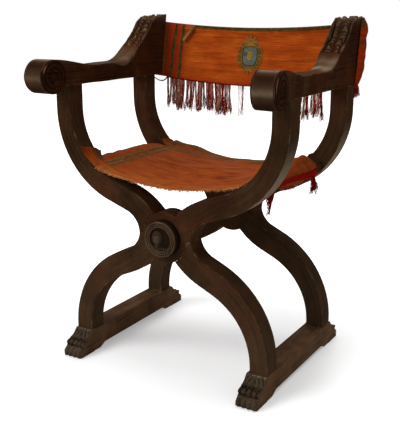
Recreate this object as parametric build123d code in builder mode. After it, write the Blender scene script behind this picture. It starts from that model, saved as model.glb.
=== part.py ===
"""Savonarola chair: a folding armchair on two crossed pairs of curved slats.

Left and right are as seen by someone who faces the chair. +X is right, -Y is the front and +Z is up.
The origin is on the floor, under the middle of the whole chair. Lengths are in millimetres.

Two rigid frames turn about one hinge line that runs front to back through the crossings. The left
frame carries the left arm and the right sledge foot, and the right frame carries the right arm and
the left sledge foot. The fabric of the seat and of the back ties them together.
"""

from build123d import *
import math
import os

os.makedirs("parts", exist_ok=True)

# --- driving dimensions ---------------------------------------------------------------------------

# Whole chair
chair_height = 900.0
arm_underside_height = 735.0
frame_half_depth = 194.0  # middle of the chair to the outer face of either crossed pair
front_slat_thickness = 51.0
rear_slat_thickness = 47.0

# Crossing
pivot_height = 369.0
hub_radius = 66.0
hub_running_gap = 0.4
lap_gap = 0.3
hub_opening_angle = 27.3  # from the vertical to the edge where a slat leaves the hub, in degrees
notch_reach = 77.0  # hub centre to the bottom of the side notch
pin_radius = 8.0
pin_running_gap = 0.08

# Slats, above the hub
post_centre_x = 314.0
post_width = 46.0
post_straight_length = 64.0  # under the arm
seat_turn_inner_radius = 180.0
seat_turn_outer_radius = 240.0
seat_turn_angle = 71.0
upper_inner_length = 62.0  # straight stretch between the seat turn and the flare of the hub
upper_outer_length = 62.0

# Slats, below the hub
leg_centre_x = 270.5
leg_width = 49.0
leg_turn_height = 13.0  # above the sledge
leg_turn_inner_radius = 182.0
leg_turn_outer_radius = 253.0
leg_turn_angle = 66.0
lower_inner_length = 43.0
lower_outer_length = 36.0

# Sledge feet
sledge_height = 64.0
sledge_centre_x = 268.5
sledge_width = 57.0
sledge_half_length = 260.0
sledge_arch = 10.0
pad_length = 95.0
brow_length = 60.0  # tip of the sledge back to the lip above the paw
brow_drop = 8.0
brow_setback = 54.0
knuckle_crown_height = 47.0
knuckle_crown_setback = 32.0
knuckle_front_height = 31.0
knuckle_front_setback = 14.0
toe_top_height = 25.0
toe_top_setback = 16.0
toe_crown_height = 20.0
toe_crown_setback = 4.0
toe_tip_height = 10.0
toe_tip_setback = 4.0
toe_count = 4
toe_groove_width = 3.0
toe_groove_reach = 13.0

# Arms
arm_inner_x = 278.0
arm_width = 57.0
arm_dip_rise = 47.0  # thickness of the arm at its lowest stretch
arm_dip_start = -98.0  # distances along the arm are from the middle of the frame
arm_dip_end = 12.0
arm_rise_foot = (82.0, 0.25)  # along the arm, and share of the rise from the dip to the top
arm_rise_middle = (132.0, 0.58)
arm_rise_top = (157.0, 0.81)
block_front_top = (180.0, 0.95)
arm_splay = 12.0
arm_splay_start = -60.0
scroll_radius = 43.0
scroll_centre_rise = 25.0  # above the underside of the arm
scroll_centre_reach = 256.0
block_rear_bottom = 213.0
block_rear_top = 240.0
block_edge_radius = 9.0

# Joints of the frame
tenon_length = 32.0
tenon_width = 27.0
tenon_thickness = 22.0
tenon_gap = 0.2

# Seat rails
rail_centre_x = 257.0
rail_width = 36.0
rail_height = 32.0
rail_drop = 136.0  # from the top of the seat turn of the slats to the top of the rail
rail_edge_radius = 6.0
rail_tenon_length = 18.0
rail_tenon_width = 20.0
rail_tenon_height = 18.0

# Medallion on the front crossing
medallion_radius = 47.0
medallion_depth = 20.0
medallion_ring_width = 5.0
medallion_ring_depth = 4.0
medallion_dome_radius = 24.0
medallion_dome_rise = 9.0

# Fabric
fabric_thickness = 2.6
fabric_gap = 0.3
seat_sag = 40.0  # from the top of the rails to the middle of the cloth, where it hangs lowest
seat_half_depth = 192.0
seat_front_tab_turn = 21.0  # how far the turned-up tabs follow the slats, in degrees
seat_rear_tab_turn = 13.0
seat_drape = 36.0  # below the top of the rail
back_panel_top_drop = 7.0  # below the top of the blocks
back_panel_bottom_gap = 1.0  # above the underside of the arms
back_top_sag = 20.0
back_bottom_sag = 24.0
back_bow = 14.0
back_wrap = 18.0

# Trimmings
trim_thickness = 1.0
galloon_width = 9.0
back_top_galloon_inset = 3.0
back_side_galloon_places = (-240.0, -217.0)
back_galloon_end_gap = 3.0  # from the blocks
seat_rear_galloon_insets = (9.0, 32.0)  # from the rear hem to the middle of each band
seat_outer_galloon_inset = 18.0  # from the inner side of the rail
seat_inner_galloon_inset = 12.0  # from where the cloth meets the slats
fringe_length = 85.0
fringe_thickness = 3.0
fringe_spans = ((-238.0, -94.0), (-86.0, -42.0), (-16.0, 4.0), (166.0, 228.0))
seat_fringe_header_drop = 15.0  # from the top of the rail to the bottom of the header
seat_fringe_header_height = 12.0
tassel_length = 42.0
tassel_width = 15.0
applique_half_width = 46.0
applique_half_height = 62.0
applique_centre_x = 7.0
applique_drop = 104.0  # from the top of the blocks to the middle of the embroidery
nail_head_radius = 4.5
nail_head_rise = 2.5
nail_shank_radius = 1.2
nail_shank_length = 14.0
nail_running_gap = 0.05
nail_setback = 10.0  # from the rear edge of the block
nail_height_shares = (0.12, 0.46, 0.8)  # of the height of the block

# --- places worked out from them ------------------------------------------------------------------

scroll_reach = scroll_centre_reach + scroll_radius
middle_y = (scroll_reach - sledge_half_length) / 2  # middle of the frame, in the chair's own frame
front_face_y = middle_y - frame_half_depth
front_back_y = front_face_y + front_slat_thickness
rear_face_y = middle_y + frame_half_depth
rear_front_y = rear_face_y - rear_slat_thickness
seat_turn_height = arm_underside_height - post_straight_length
rail_top_height = seat_turn_height - rail_drop
seat_low_height = rail_top_height - seat_sag

rake = (block_rear_top - block_rear_bottom) / (chair_height - arm_underside_height)
rake_angle = math.atan(rake)
arm_outer_x = arm_inner_x + arm_width
arm_dip_height = arm_underside_height + arm_dip_rise
scroll_centre_height = arm_underside_height + scroll_centre_rise
seat_fringe_header_bottom = rail_top_height - seat_fringe_header_drop
back_panel_top_height = chair_height - back_panel_top_drop
back_panel_bottom_height = arm_underside_height + back_panel_bottom_gap
back_galloon_half_span = arm_inner_x - back_galloon_end_gap
cloth_offset = fabric_gap + fabric_thickness / 2  # a surface to the middle of the cloth laid on it


def on_circle(centre, radius, degrees):
    """The point of a circle in the X-Z plane at an angle above +X."""
    angle = math.radians(degrees)
    return (centre[0] + radius * math.cos(angle), centre[1] + radius * math.sin(angle))


def along(point, degrees, distance):
    """The point at a distance from another, in a direction above +X."""
    return on_circle(point, distance, degrees)


def arc_strip(centre, radius, start_angle, sweep, thickness):
    """A thin strip that follows an arc, as a face of the open sketch."""
    with BuildLine() as outline:
        inner = CenterArc(centre, radius - thickness / 2, start_angle, sweep)
        outer = CenterArc(centre, radius + thickness / 2, start_angle, sweep)
        Line(inner @ 0, outer @ 0)
        Line(inner @ 1, outer @ 1)
    return make_face(outline.edges())


# --- slats ----------------------------------------------------------------------------------------

hub_centre = (0.0, pivot_height)
post_inner_x = post_centre_x - post_width / 2
post_outer_x = post_centre_x + post_width / 2
leg_inner_x = leg_centre_x - leg_width / 2
leg_outer_x = leg_centre_x + leg_width / 2
leg_turn_z = sledge_height + leg_turn_height
seat_inner_centre = (post_inner_x - seat_turn_inner_radius, seat_turn_height)
seat_outer_centre = (post_outer_x - seat_turn_outer_radius, seat_turn_height)
leg_inner_centre = (leg_inner_x - leg_turn_inner_radius, leg_turn_z)
leg_outer_centre = (leg_outer_x - leg_turn_outer_radius, leg_turn_z)


def upper_branch():
    """Face of the upper right branch of a slat in the X-Z plane, from the hub's centre to the arm."""
    turned = seat_turn_angle
    inner_end = on_circle(seat_inner_centre, seat_turn_inner_radius, -turned)
    outer_end = on_circle(seat_outer_centre, seat_turn_outer_radius, -turned)
    downhill = 270 - turned
    inner_flare = along(inner_end, downhill, upper_inner_length)
    outer_flare = along(outer_end, downhill, upper_outer_length)
    notch = (notch_reach, pivot_height + lap_gap / 2)
    hub_edge = on_circle(hub_centre, hub_radius, 90 - hub_opening_angle)
    tangent = (math.cos(math.radians(downhill)), math.sin(math.radians(downhill)))
    with BuildSketch(Plane.XZ) as branch:
        with BuildLine():
            Line((post_inner_x, arm_underside_height), (post_inner_x, seat_turn_height))
            ThreePointArc(
                (post_inner_x, seat_turn_height),
                on_circle(seat_inner_centre, seat_turn_inner_radius, -turned / 2),
                inner_end,
            )
            Line(inner_end, inner_flare)
            TangentArc(inner_flare, hub_edge, tangent=tangent)
            Line(hub_edge, (0, notch[1]))
            Line((0, notch[1]), notch)
            TangentArc(outer_flare, notch, tangent=tangent)
            Line(outer_flare, outer_end)
            ThreePointArc(
                outer_end,
                on_circle(seat_outer_centre, seat_turn_outer_radius, -turned / 2),
                (post_outer_x, seat_turn_height),
            )
            Line((post_outer_x, seat_turn_height), (post_outer_x, arm_underside_height))
            Line((post_outer_x, arm_underside_height), (post_inner_x, arm_underside_height))
        make_face()
    return branch.sketch


def lower_branch():
    """Face of the lower left branch of the same slat, from the hub's centre to the sledge."""
    turned = leg_turn_angle
    inner_end = on_circle(leg_inner_centre, leg_turn_inner_radius, turned)
    outer_end = on_circle(leg_outer_centre, leg_turn_outer_radius, turned)
    uphill = 90 + turned
    inner_flare = along(inner_end, uphill, lower_inner_length)
    outer_flare = along(outer_end, uphill, lower_outer_length)
    notch = (notch_reach, pivot_height - lap_gap / 2)
    hub_edge = on_circle(hub_centre, hub_radius, hub_opening_angle - 90)
    tangent = (math.cos(math.radians(uphill)), math.sin(math.radians(uphill)))
    with BuildSketch(Plane.XZ) as branch:
        with BuildLine():
            Line((leg_inner_x, sledge_height), (leg_inner_x, leg_turn_z))
            ThreePointArc(
                (leg_inner_x, leg_turn_z),
                on_circle(leg_inner_centre, leg_turn_inner_radius, turned / 2),
                inner_end,
            )
            Line(inner_end, inner_flare)
            TangentArc(inner_flare, hub_edge, tangent=tangent)
            Line(hub_edge, (0, notch[1]))
            Line((0, notch[1]), notch)
            TangentArc(outer_flare, notch, tangent=tangent)
            Line(outer_flare, outer_end)
            ThreePointArc(
                outer_end,
                on_circle(leg_outer_centre, leg_turn_outer_radius, turned / 2),
                (leg_outer_x, leg_turn_z),
            )
            Line((leg_outer_x, leg_turn_z), (leg_outer_x, sledge_height))
            Line((leg_outer_x, sledge_height), (leg_inner_x, sledge_height))
        make_face()
    return mirror(branch.sketch, about=Plane.YZ)


upper_face = upper_branch()
lower_face = lower_branch()


def right_slat(face_y, thickness, keeps_front, rail_side_y):
    """The slat that rises to the right: two branches joined at a round hub, halved where it is lapped.

    face_y is its front face, keeps_front says which half of the lap it keeps, and rail_side_y is the
    face that the seat rail is tenoned into."""
    back_y = face_y + thickness
    lap_y = face_y + thickness / 2
    cut_front_y = lap_y - lap_gap / 2 if keeps_front else face_y
    cut_back_y = back_y if keeps_front else lap_y + lap_gap / 2
    with BuildPart() as slat:
        extrude(upper_face.moved(Location((0, back_y, 0))), amount=thickness, dir=(0, -1, 0))
        extrude(lower_face.moved(Location((0, back_y, 0))), amount=thickness, dir=(0, -1, 0))
        with BuildSketch(Plane.XZ.offset(-back_y)):
            with Locations(hub_centre):
                Circle(hub_radius)
        extrude(amount=thickness)
        with BuildSketch(Plane.XZ.offset(-cut_back_y)):
            with Locations(hub_centre):
                Circle(hub_radius + hub_running_gap)
        extrude(amount=cut_back_y - cut_front_y, mode=Mode.SUBTRACT)
        with BuildSketch(Plane.XZ.offset(-back_y)):
            with Locations(hub_centre):
                Circle(pin_radius + pin_running_gap)
        extrude(amount=thickness, mode=Mode.SUBTRACT)
        with Locations((post_centre_x, lap_y, arm_underside_height)):
            Box(tenon_width, tenon_thickness, tenon_length, align=(Align.CENTER, Align.CENTER, Align.MIN))
        with Locations((-leg_centre_x, lap_y, sledge_height)):
            Box(tenon_width, tenon_thickness, tenon_length, align=(Align.CENTER, Align.CENTER, Align.MAX))
        with Locations((rail_centre_x, rail_side_y, rail_middle_height)):
            Box(
                rail_tenon_width + 2 * tenon_gap,
                2 * (rail_tenon_length + tenon_gap),
                rail_tenon_height + 2 * tenon_gap,
                mode=Mode.SUBTRACT,
            )
    return slat


rail_middle_height = rail_top_height - rail_height / 2
front_lap_y = (front_face_y + front_back_y) / 2
rear_lap_y = (rear_front_y + rear_face_y) / 2

# The right slats keep the outer half of the lap, in front and at the back.
front_slat_right = right_slat(front_face_y, front_slat_thickness, True, front_back_y)
front_slat_right.part.label = "front_slat_right"
export_step(front_slat_right.part, "parts/front_slat_right.step")

rear_slat_right = right_slat(rear_front_y, rear_slat_thickness, False, rear_front_y)
rear_slat_right.part.label = "rear_slat_right"
export_step(rear_slat_right.part, "parts/rear_slat_right.step")

front_slat_left_mirrored = right_slat(front_face_y, front_slat_thickness, False, front_back_y)
with BuildPart() as front_slat_left:
    mirror(front_slat_left_mirrored.part, about=Plane.YZ)
front_slat_left.part.label = "front_slat_left"
export_step(front_slat_left.part, "parts/front_slat_left.step")

rear_slat_left_mirrored = right_slat(rear_front_y, rear_slat_thickness, True, rear_front_y)
with BuildPart() as rear_slat_left:
    mirror(rear_slat_left_mirrored.part, about=Plane.YZ)
rear_slat_left.part.label = "rear_slat_left"
export_step(rear_slat_left.part, "parts/rear_slat_left.step")


# Hinge pins, one through each lapped hub and flush with the slats.
with BuildPart() as front_pivot_pin:
    with BuildSketch(Plane.XZ.offset(-front_back_y)):
        with Locations(hub_centre):
            Circle(pin_radius)
    extrude(amount=front_slat_thickness)
front_pivot_pin.part.label = "front_pivot_pin"
export_step(front_pivot_pin.part, "parts/front_pivot_pin.step")

with BuildPart() as rear_pivot_pin:
    with BuildSketch(Plane.XZ.offset(-rear_face_y)):
        with Locations(hub_centre):
            Circle(pin_radius)
    extrude(amount=rear_slat_thickness)
rear_pivot_pin.part.label = "rear_pivot_pin"
export_step(rear_pivot_pin.part, "parts/rear_pivot_pin.step")


# --- medallion ------------------------------------------------------------------------------------

# A turned disc with a raised rim and a domed field for the carved head. Its back lies on the hub.
medallion_front_y = front_face_y - medallion_depth
dome_ball_radius = (medallion_dome_radius**2 + medallion_dome_rise**2) / (2 * medallion_dome_rise)
dome_ball_y = medallion_front_y - medallion_dome_rise + dome_ball_radius
with BuildPart() as front_medallion:
    with BuildSketch(Plane.XZ.offset(-medallion_front_y)):
        with Locations(hub_centre):
            Circle(medallion_dome_radius)
    extrude(amount=medallion_dome_rise)
    with Locations((0, dome_ball_y, pivot_height)):
        Sphere(dome_ball_radius, mode=Mode.INTERSECT)
    with BuildSketch(Plane.XZ.offset(-front_face_y)):
        with Locations(hub_centre):
            Circle(medallion_radius)
    extrude(amount=medallion_depth)
    with BuildSketch(Plane.XZ.offset(-medallion_front_y)):
        with Locations(hub_centre):
            Circle(medallion_radius - medallion_ring_width)
            Circle(medallion_radius - 2 * medallion_ring_width, mode=Mode.SUBTRACT)
    extrude(amount=-medallion_ring_depth, mode=Mode.SUBTRACT)
front_medallion.part.label = "front_medallion"
export_step(front_medallion.part, "parts/front_medallion.step")


# --- sledge feet ----------------------------------------------------------------------------------

# One plank on edge from front to back. A paw is carved on each end, and the underside is hollowed
# between the two pads. Both legs of a side are tenoned into its top.
sledge_inner_x = sledge_centre_x - sledge_width / 2
sledge_plane = Plane(origin=(sledge_inner_x, middle_y, 0), x_dir=(0, 1, 0), z_dir=(1, 0, 0))
pad_inner = sledge_half_length - pad_length
hollow_start = pad_inner - 2 * sledge_arch
with BuildPart() as right_sledge:
    with BuildSketch(sledge_plane):
        with BuildLine():
            Line((0, sledge_height), (sledge_half_length - brow_length, sledge_height))
            Line(
                (sledge_half_length - brow_length, sledge_height),
                (sledge_half_length - brow_setback, sledge_height - brow_drop),
            )
            ThreePointArc(
                (sledge_half_length - brow_setback, sledge_height - brow_drop),
                (sledge_half_length - knuckle_crown_setback, knuckle_crown_height),
                (sledge_half_length - knuckle_front_setback, knuckle_front_height),
            )
            Line(
                (sledge_half_length - knuckle_front_setback, knuckle_front_height),
                (sledge_half_length - toe_top_setback, toe_top_height),
            )
            ThreePointArc(
                (sledge_half_length - toe_top_setback, toe_top_height),
                (sledge_half_length - toe_crown_setback, toe_crown_height),
                (sledge_half_length, toe_tip_height),
            )
            Line((sledge_half_length, toe_tip_height), (sledge_half_length - toe_tip_setback, 0))
            Line((sledge_half_length - toe_tip_setback, 0), (pad_inner, 0))
            Line((pad_inner, 0), (hollow_start, sledge_arch))
            Line((hollow_start, sledge_arch), (0, sledge_arch))
            Line((0, sledge_arch), (0, sledge_height))
        make_face()
        mirror(about=Plane.YZ)
    extrude(amount=sledge_width)
    groove_places = [
        (sledge_inner_x + sledge_width * step / toe_count, middle_y + end * sledge_half_length, 0)
        for step in range(1, toe_count)
        for end in (-1, 1)
    ]
    with Locations(*groove_places):
        Box(toe_groove_width, 2 * toe_groove_reach, 2 * toe_top_height, mode=Mode.SUBTRACT)
    with Locations((leg_centre_x, front_lap_y, sledge_height), (leg_centre_x, rear_lap_y, sledge_height)):
        Box(
            tenon_width + 2 * tenon_gap,
            tenon_thickness + 2 * tenon_gap,
            2 * (tenon_length + tenon_gap),
            mode=Mode.SUBTRACT,
        )
right_sledge.part.label = "right_sledge"
export_step(right_sledge.part, "parts/right_sledge.step")

with BuildPart() as left_sledge:
    mirror(right_sledge.part, about=Plane.YZ)
left_sledge.part.label = "left_sledge"
export_step(left_sledge.part, "parts/left_sledge.step")


# --- arms -----------------------------------------------------------------------------------------

# Each arm is cut to two outlines, one from the side and one from above: a scroll in front, a dip for
# the elbow, and a tall block at the back that the fabric is nailed to.
arm_side_plane = Plane(origin=(0, middle_y, 0), x_dir=(0, 1, 0), z_dir=(1, 0, 0))
arm_plan_plane = Plane(origin=(0, middle_y, 0), x_dir=(1, 0, 0), z_dir=(0, 0, 1))
scroll_top = (-scroll_centre_reach, scroll_centre_height + scroll_radius)
scroll_middle = (-scroll_centre_reach, scroll_centre_height)
block_height = chair_height - arm_underside_height
block_run = block_rear_top - block_rear_bottom
nail_spots = [
    (
        middle_y + block_rear_bottom + share * block_run - nail_setback,
        arm_underside_height + share * block_height,
    )
    for share in nail_height_shares
]


def rise_point(place):
    """A point of the arm's top edge, from its distance along the arm and its share of the rise."""
    return (place[0], arm_dip_height + place[1] * (chair_height - arm_dip_height))


with BuildPart() as right_arm:
    with BuildSketch(arm_side_plane):
        with BuildLine():
            Spline(scroll_top, (arm_dip_start, arm_dip_height), tangents=[(1, 0), (1, 0)])
            Line((arm_dip_start, arm_dip_height), (arm_dip_end, arm_dip_height))
            Spline(
                (arm_dip_end, arm_dip_height),
                rise_point(arm_rise_foot),
                rise_point(arm_rise_middle),
                rise_point(arm_rise_top),
                rise_point(block_front_top),
                tangents=[(1, 0), (1, rake)],
            )
            Line(rise_point(block_front_top), (block_rear_top, chair_height))
            Line((block_rear_top, chair_height), (block_rear_bottom, arm_underside_height))
            Line((block_rear_bottom, arm_underside_height), (-scroll_centre_reach, arm_underside_height))
            Line((-scroll_centre_reach, arm_underside_height), scroll_top)
        make_face()
        with Locations(scroll_middle):
            Circle(scroll_radius)
    extrude(amount=arm_outer_x + arm_splay)
    with BuildSketch(arm_plan_plane):
        with BuildLine():
            Line((arm_inner_x, block_rear_top), (arm_inner_x, arm_splay_start))
            TangentArc(
                (arm_inner_x, arm_splay_start), (arm_inner_x + arm_splay, -scroll_reach), tangent=(0, -1)
            )
            Line((arm_inner_x + arm_splay, -scroll_reach), (arm_outer_x + arm_splay, -scroll_reach))
            TangentArc(
                (arm_outer_x, arm_splay_start), (arm_outer_x + arm_splay, -scroll_reach), tangent=(0, -1)
            )
            Line((arm_outer_x, arm_splay_start), (arm_outer_x, block_rear_top))
            Line((arm_outer_x, block_rear_top), (arm_inner_x, block_rear_top))
        make_face()
    extrude(amount=chair_height, mode=Mode.INTERSECT)
    rear_edges = right_arm.faces().sort_by(Axis.Y)[-1].edges()
    fillet(rear_edges.sort_by(Axis.X)[-1], radius=block_edge_radius)
    mortise_spots = [(post_centre_x, lap_y, arm_underside_height) for lap_y in (front_lap_y, rear_lap_y)]
    with Locations(*mortise_spots):
        Box(
            tenon_width + 2 * tenon_gap,
            tenon_thickness + 2 * tenon_gap,
            2 * (tenon_length + tenon_gap),
            mode=Mode.SUBTRACT,
        )
    with BuildSketch(Plane.YZ.offset(arm_outer_x)):
        with Locations(*nail_spots):
            Circle(nail_shank_radius + nail_running_gap)
    extrude(amount=-nail_shank_length, mode=Mode.SUBTRACT)
right_arm.part.label = "right_arm"
export_step(right_arm.part, "parts/right_arm.step")

with BuildPart() as left_arm:
    mirror(right_arm.part, about=Plane.YZ)
left_arm.part.label = "left_arm"
export_step(left_arm.part, "parts/left_arm.step")


# --- seat rails -----------------------------------------------------------------------------------

# A rail on each side runs from the front slat to the rear one and carries the seat.
with BuildPart() as right_seat_rail:
    with BuildSketch(Plane.XZ.offset(-rear_front_y)):
        with Locations((rail_centre_x, rail_middle_height)):
            RectangleRounded(rail_width, rail_height, rail_edge_radius)
    extrude(amount=rear_front_y - front_back_y)
    with BuildSketch(Plane.XZ.offset(-rear_front_y - rail_tenon_length)):
        with Locations((rail_centre_x, rail_middle_height)):
            Rectangle(rail_tenon_width, rail_tenon_height)
    extrude(amount=rear_front_y - front_back_y + 2 * rail_tenon_length)
right_seat_rail.part.label = "right_seat_rail"
export_step(right_seat_rail.part, "parts/right_seat_rail.step")

with BuildPart() as left_seat_rail:
    mirror(right_seat_rail.part, about=Plane.YZ)
left_seat_rail.part.label = "left_seat_rail"
export_step(left_seat_rail.part, "parts/left_seat_rail.step")


# --- seat -----------------------------------------------------------------------------------------

# The cloth hangs in one arc from rail to rail. It rolls over each rail and down its outer side. At
# the front and at the back it lies between the slats, with a tab turned up against each of them.
rail_corner_x = rail_centre_x - rail_width / 2 + rail_edge_radius
rail_far_corner_x = rail_centre_x + rail_width / 2 - rail_edge_radius
rail_corner_z = rail_top_height - rail_edge_radius
roll_radius = rail_edge_radius + cloth_offset
sling_drop = rail_corner_z - seat_low_height
sling_radius = (rail_corner_x**2 + sling_drop**2 - roll_radius**2) / (2 * (roll_radius + sling_drop))
sling_centre = (0.0, seat_low_height + sling_radius)
sling_half_angle = math.degrees(math.atan2(rail_corner_x, sling_centre[1] - rail_corner_z))

# The tabs follow the inner edge of the slats. They start where the hanging arc meets that edge.
tab_radius = seat_turn_inner_radius - cloth_offset
to_sling = (sling_centre[0] - seat_inner_centre[0], sling_centre[1] - seat_inner_centre[1])
centre_distance = math.hypot(*to_sling)
tab_cosine = (centre_distance**2 + tab_radius**2 - sling_radius**2) / (2 * centre_distance * tab_radius)
tab_foot_angle = math.degrees(math.atan2(to_sling[1], to_sling[0]) - math.acos(tab_cosine))
tab_foot = on_circle(seat_inner_centre, tab_radius, tab_foot_angle)
tab_foot_sling_angle = math.degrees(math.asin(tab_foot[0] / sling_radius))


seat_front_y = middle_y - seat_half_depth
seat_rear_y = middle_y + seat_half_depth
span_front_y = front_back_y + fabric_gap
span_rear_y = rear_front_y - fabric_gap
roll_start_angle = sling_half_angle - tab_foot_sling_angle
roll_top_z = rail_corner_z + roll_radius
drape_length = rail_corner_z - (rail_top_height - seat_drape)
with BuildPart() as half_sling:
    with BuildSketch(Plane.XZ.offset(-seat_rear_y)):
        arc_strip(sling_centre, sling_radius, 270, tab_foot_sling_angle, fabric_thickness)
    extrude(amount=2 * seat_half_depth)
    with BuildSketch(Plane.XZ.offset(-span_rear_y)):
        arc_strip(
            sling_centre, sling_radius, 270 + tab_foot_sling_angle, roll_start_angle, fabric_thickness
        )
        arc_strip((rail_corner_x, rail_corner_z), roll_radius, 90, sling_half_angle, fabric_thickness)
        with Locations((rail_corner_x, roll_top_z)):
            Rectangle(rail_far_corner_x - rail_corner_x, fabric_thickness, align=(Align.MIN, Align.CENTER))
        arc_strip((rail_far_corner_x, rail_corner_z), roll_radius, 0, 90, fabric_thickness)
        with Locations((rail_far_corner_x + roll_radius, rail_corner_z)):
            Rectangle(fabric_thickness, drape_length, align=(Align.CENTER, Align.MAX))
    extrude(amount=span_rear_y - span_front_y)
    with BuildSketch(Plane.XZ.offset(-span_front_y)):
        arc_strip(seat_inner_centre, tab_radius, tab_foot_angle, seat_front_tab_turn, fabric_thickness)
    extrude(amount=span_front_y - seat_front_y)
    with BuildSketch(Plane.XZ.offset(-seat_rear_y)):
        arc_strip(seat_inner_centre, tab_radius, tab_foot_angle, seat_rear_tab_turn, fabric_thickness)
    extrude(amount=seat_rear_y - span_rear_y)

with BuildPart() as seat_sling:
    add(half_sling.part)
    mirror(half_sling.part, about=Plane.YZ)
seat_sling.part.label = "seat_sling"
export_step(seat_sling.part, "parts/seat_sling.step")

# Two bands of galloon along each side and two along the rear hem, sewn on top of the cloth. The outer
# side bands stop at the slats. The inner ones run on to the rear bands.
seat_outer_galloon_x = rail_centre_x - rail_width / 2 - seat_outer_galloon_inset
seat_inner_galloon_x = tab_foot[0] - seat_inner_galloon_inset
galloon_arc_radius = sling_radius - cloth_offset - trim_thickness / 2
galloon_half_angle = math.degrees(math.asin((seat_outer_galloon_x + galloon_width) / sling_radius))
rear_band_half_span = seat_inner_galloon_x + galloon_width / 2
with BuildPart() as seat_galloons:
    with BuildSketch(Plane.XZ.offset(-seat_rear_y)):
        arc_strip(
            sling_centre,
            galloon_arc_radius,
            270 - galloon_half_angle,
            2 * galloon_half_angle,
            trim_thickness,
        )
    extrude(amount=2 * seat_half_depth)
    with BuildSketch(Plane.XY):
        for inset in seat_rear_galloon_insets:
            with Locations((0, seat_rear_y - inset)):
                Rectangle(2 * rear_band_half_span, galloon_width)
        inner_band_length = seat_rear_y - max(seat_rear_galloon_insets) - span_front_y
        for side in (-1, 1):
            with Locations((side * seat_outer_galloon_x, span_front_y)):
                Rectangle(galloon_width, span_rear_y - span_front_y, align=(Align.CENTER, Align.MIN))
            with Locations((side * seat_inner_galloon_x, span_front_y)):
                Rectangle(galloon_width, inner_band_length, align=(Align.CENTER, Align.MIN))
    extrude(amount=arm_underside_height, mode=Mode.INTERSECT)
seat_galloons.part.label = "seat_galloons"
export_step(seat_galloons.part, "parts/seat_galloons.step")

# What is left of the seat fringe: a braided header along the outer hem, and a tassel at each end.
seat_fringe_x = rail_far_corner_x + roll_radius + fabric_thickness / 2 + fabric_gap
header_length = span_rear_y - span_front_y
header_middle_y = (span_rear_y + span_front_y) / 2
with BuildPart() as seat_fringe_right:
    with BuildSketch(Plane.YZ.offset(seat_fringe_x)):
        with Locations((header_middle_y, seat_fringe_header_bottom)):
            Rectangle(header_length, seat_fringe_header_height, align=(Align.CENTER, Align.MIN))
        with Locations((span_front_y, seat_fringe_header_bottom)):
            Rectangle(tassel_width, tassel_length, align=(Align.MIN, Align.MAX))
        with Locations((span_rear_y, seat_fringe_header_bottom)):
            Rectangle(tassel_width, tassel_length, align=(Align.MAX, Align.MAX))
    extrude(amount=fringe_thickness)
seat_fringe_right.part.label = "seat_fringe_right"
export_step(seat_fringe_right.part, "parts/seat_fringe_right.step")

with BuildPart() as seat_fringe_left:
    mirror(seat_fringe_right.part, about=Plane.YZ)
seat_fringe_left.part.label = "seat_fringe_left"
export_step(seat_fringe_left.part, "parts/seat_fringe_left.step")


# --- back -----------------------------------------------------------------------------------------

# The back plane leans with the rear faces of the arm blocks. Its y counts backwards from them.
back_plane = Plane(
    origin=(0, middle_y + block_rear_bottom, arm_underside_height),
    x_dir=(1, 0, 0),
    z_dir=(0, math.sin(rake_angle), math.cos(rake_angle)),
)
back_reach_up = (chair_height - arm_underside_height) / math.cos(rake_angle)
back_reach_down = back_bottom_sag + block_edge_radius
bow_radius = (arm_inner_x**2 + back_bow**2) / (2 * back_bow)
bow_centre = (0, cloth_offset + back_bow - bow_radius)
wrap_radius = block_edge_radius + cloth_offset
corner_x = arm_outer_x - block_edge_radius
panel_half_width = arm_outer_x + cloth_offset + fabric_thickness


def bowed_strip(offset, half_span, thickness):
    """A strip along the bow of the back, seen from above and moved backwards by an offset."""
    half_angle = math.degrees(math.asin(half_span / bow_radius))
    return arc_strip(bow_centre, bow_radius + offset, 90 - half_angle, 2 * half_angle, thickness)


# The back panel is wrapped round the rear edge of each block and nailed to its outer face.
with BuildPart() as back_panel:
    with BuildSketch(back_plane.offset(-back_reach_down)):
        bowed_strip(0, arm_inner_x, fabric_thickness)
        with Locations((arm_inner_x, cloth_offset)):
            Rectangle(corner_x - arm_inner_x, fabric_thickness, align=(Align.MIN, Align.CENTER))
        arc_strip((corner_x, -block_edge_radius), wrap_radius, 0, 90, fabric_thickness)
        with Locations((arm_outer_x + cloth_offset, -block_edge_radius)):
            Rectangle(fabric_thickness, back_wrap - block_edge_radius, align=(Align.CENTER, Align.MAX))
        mirror(about=Plane.YZ)
    extrude(amount=back_reach_down + back_reach_up)
    with BuildSketch(Plane.XZ):
        with BuildLine():
            ThreePointArc(
                (-panel_half_width, back_panel_top_height),
                (0, back_panel_top_height - back_top_sag),
                (panel_half_width, back_panel_top_height),
            )
            Line((panel_half_width, back_panel_top_height), (panel_half_width, back_panel_bottom_height))
            ThreePointArc(
                (panel_half_width, back_panel_bottom_height),
                (0, back_panel_bottom_height - back_bottom_sag),
                (-panel_half_width, back_panel_bottom_height),
            )
            Line((-panel_half_width, back_panel_bottom_height), (-panel_half_width, back_panel_top_height))
        make_face()
    extrude(amount=chair_height, both=True, mode=Mode.INTERSECT)
    with BuildSketch(Plane.YZ):
        with Locations(*nail_spots):
            Circle(nail_shank_radius + fabric_gap)
    extrude(amount=panel_half_width, both=True, mode=Mode.SUBTRACT)
back_panel.part.label = "back_panel"
export_step(back_panel.part, "parts/back_panel.step")

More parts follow.
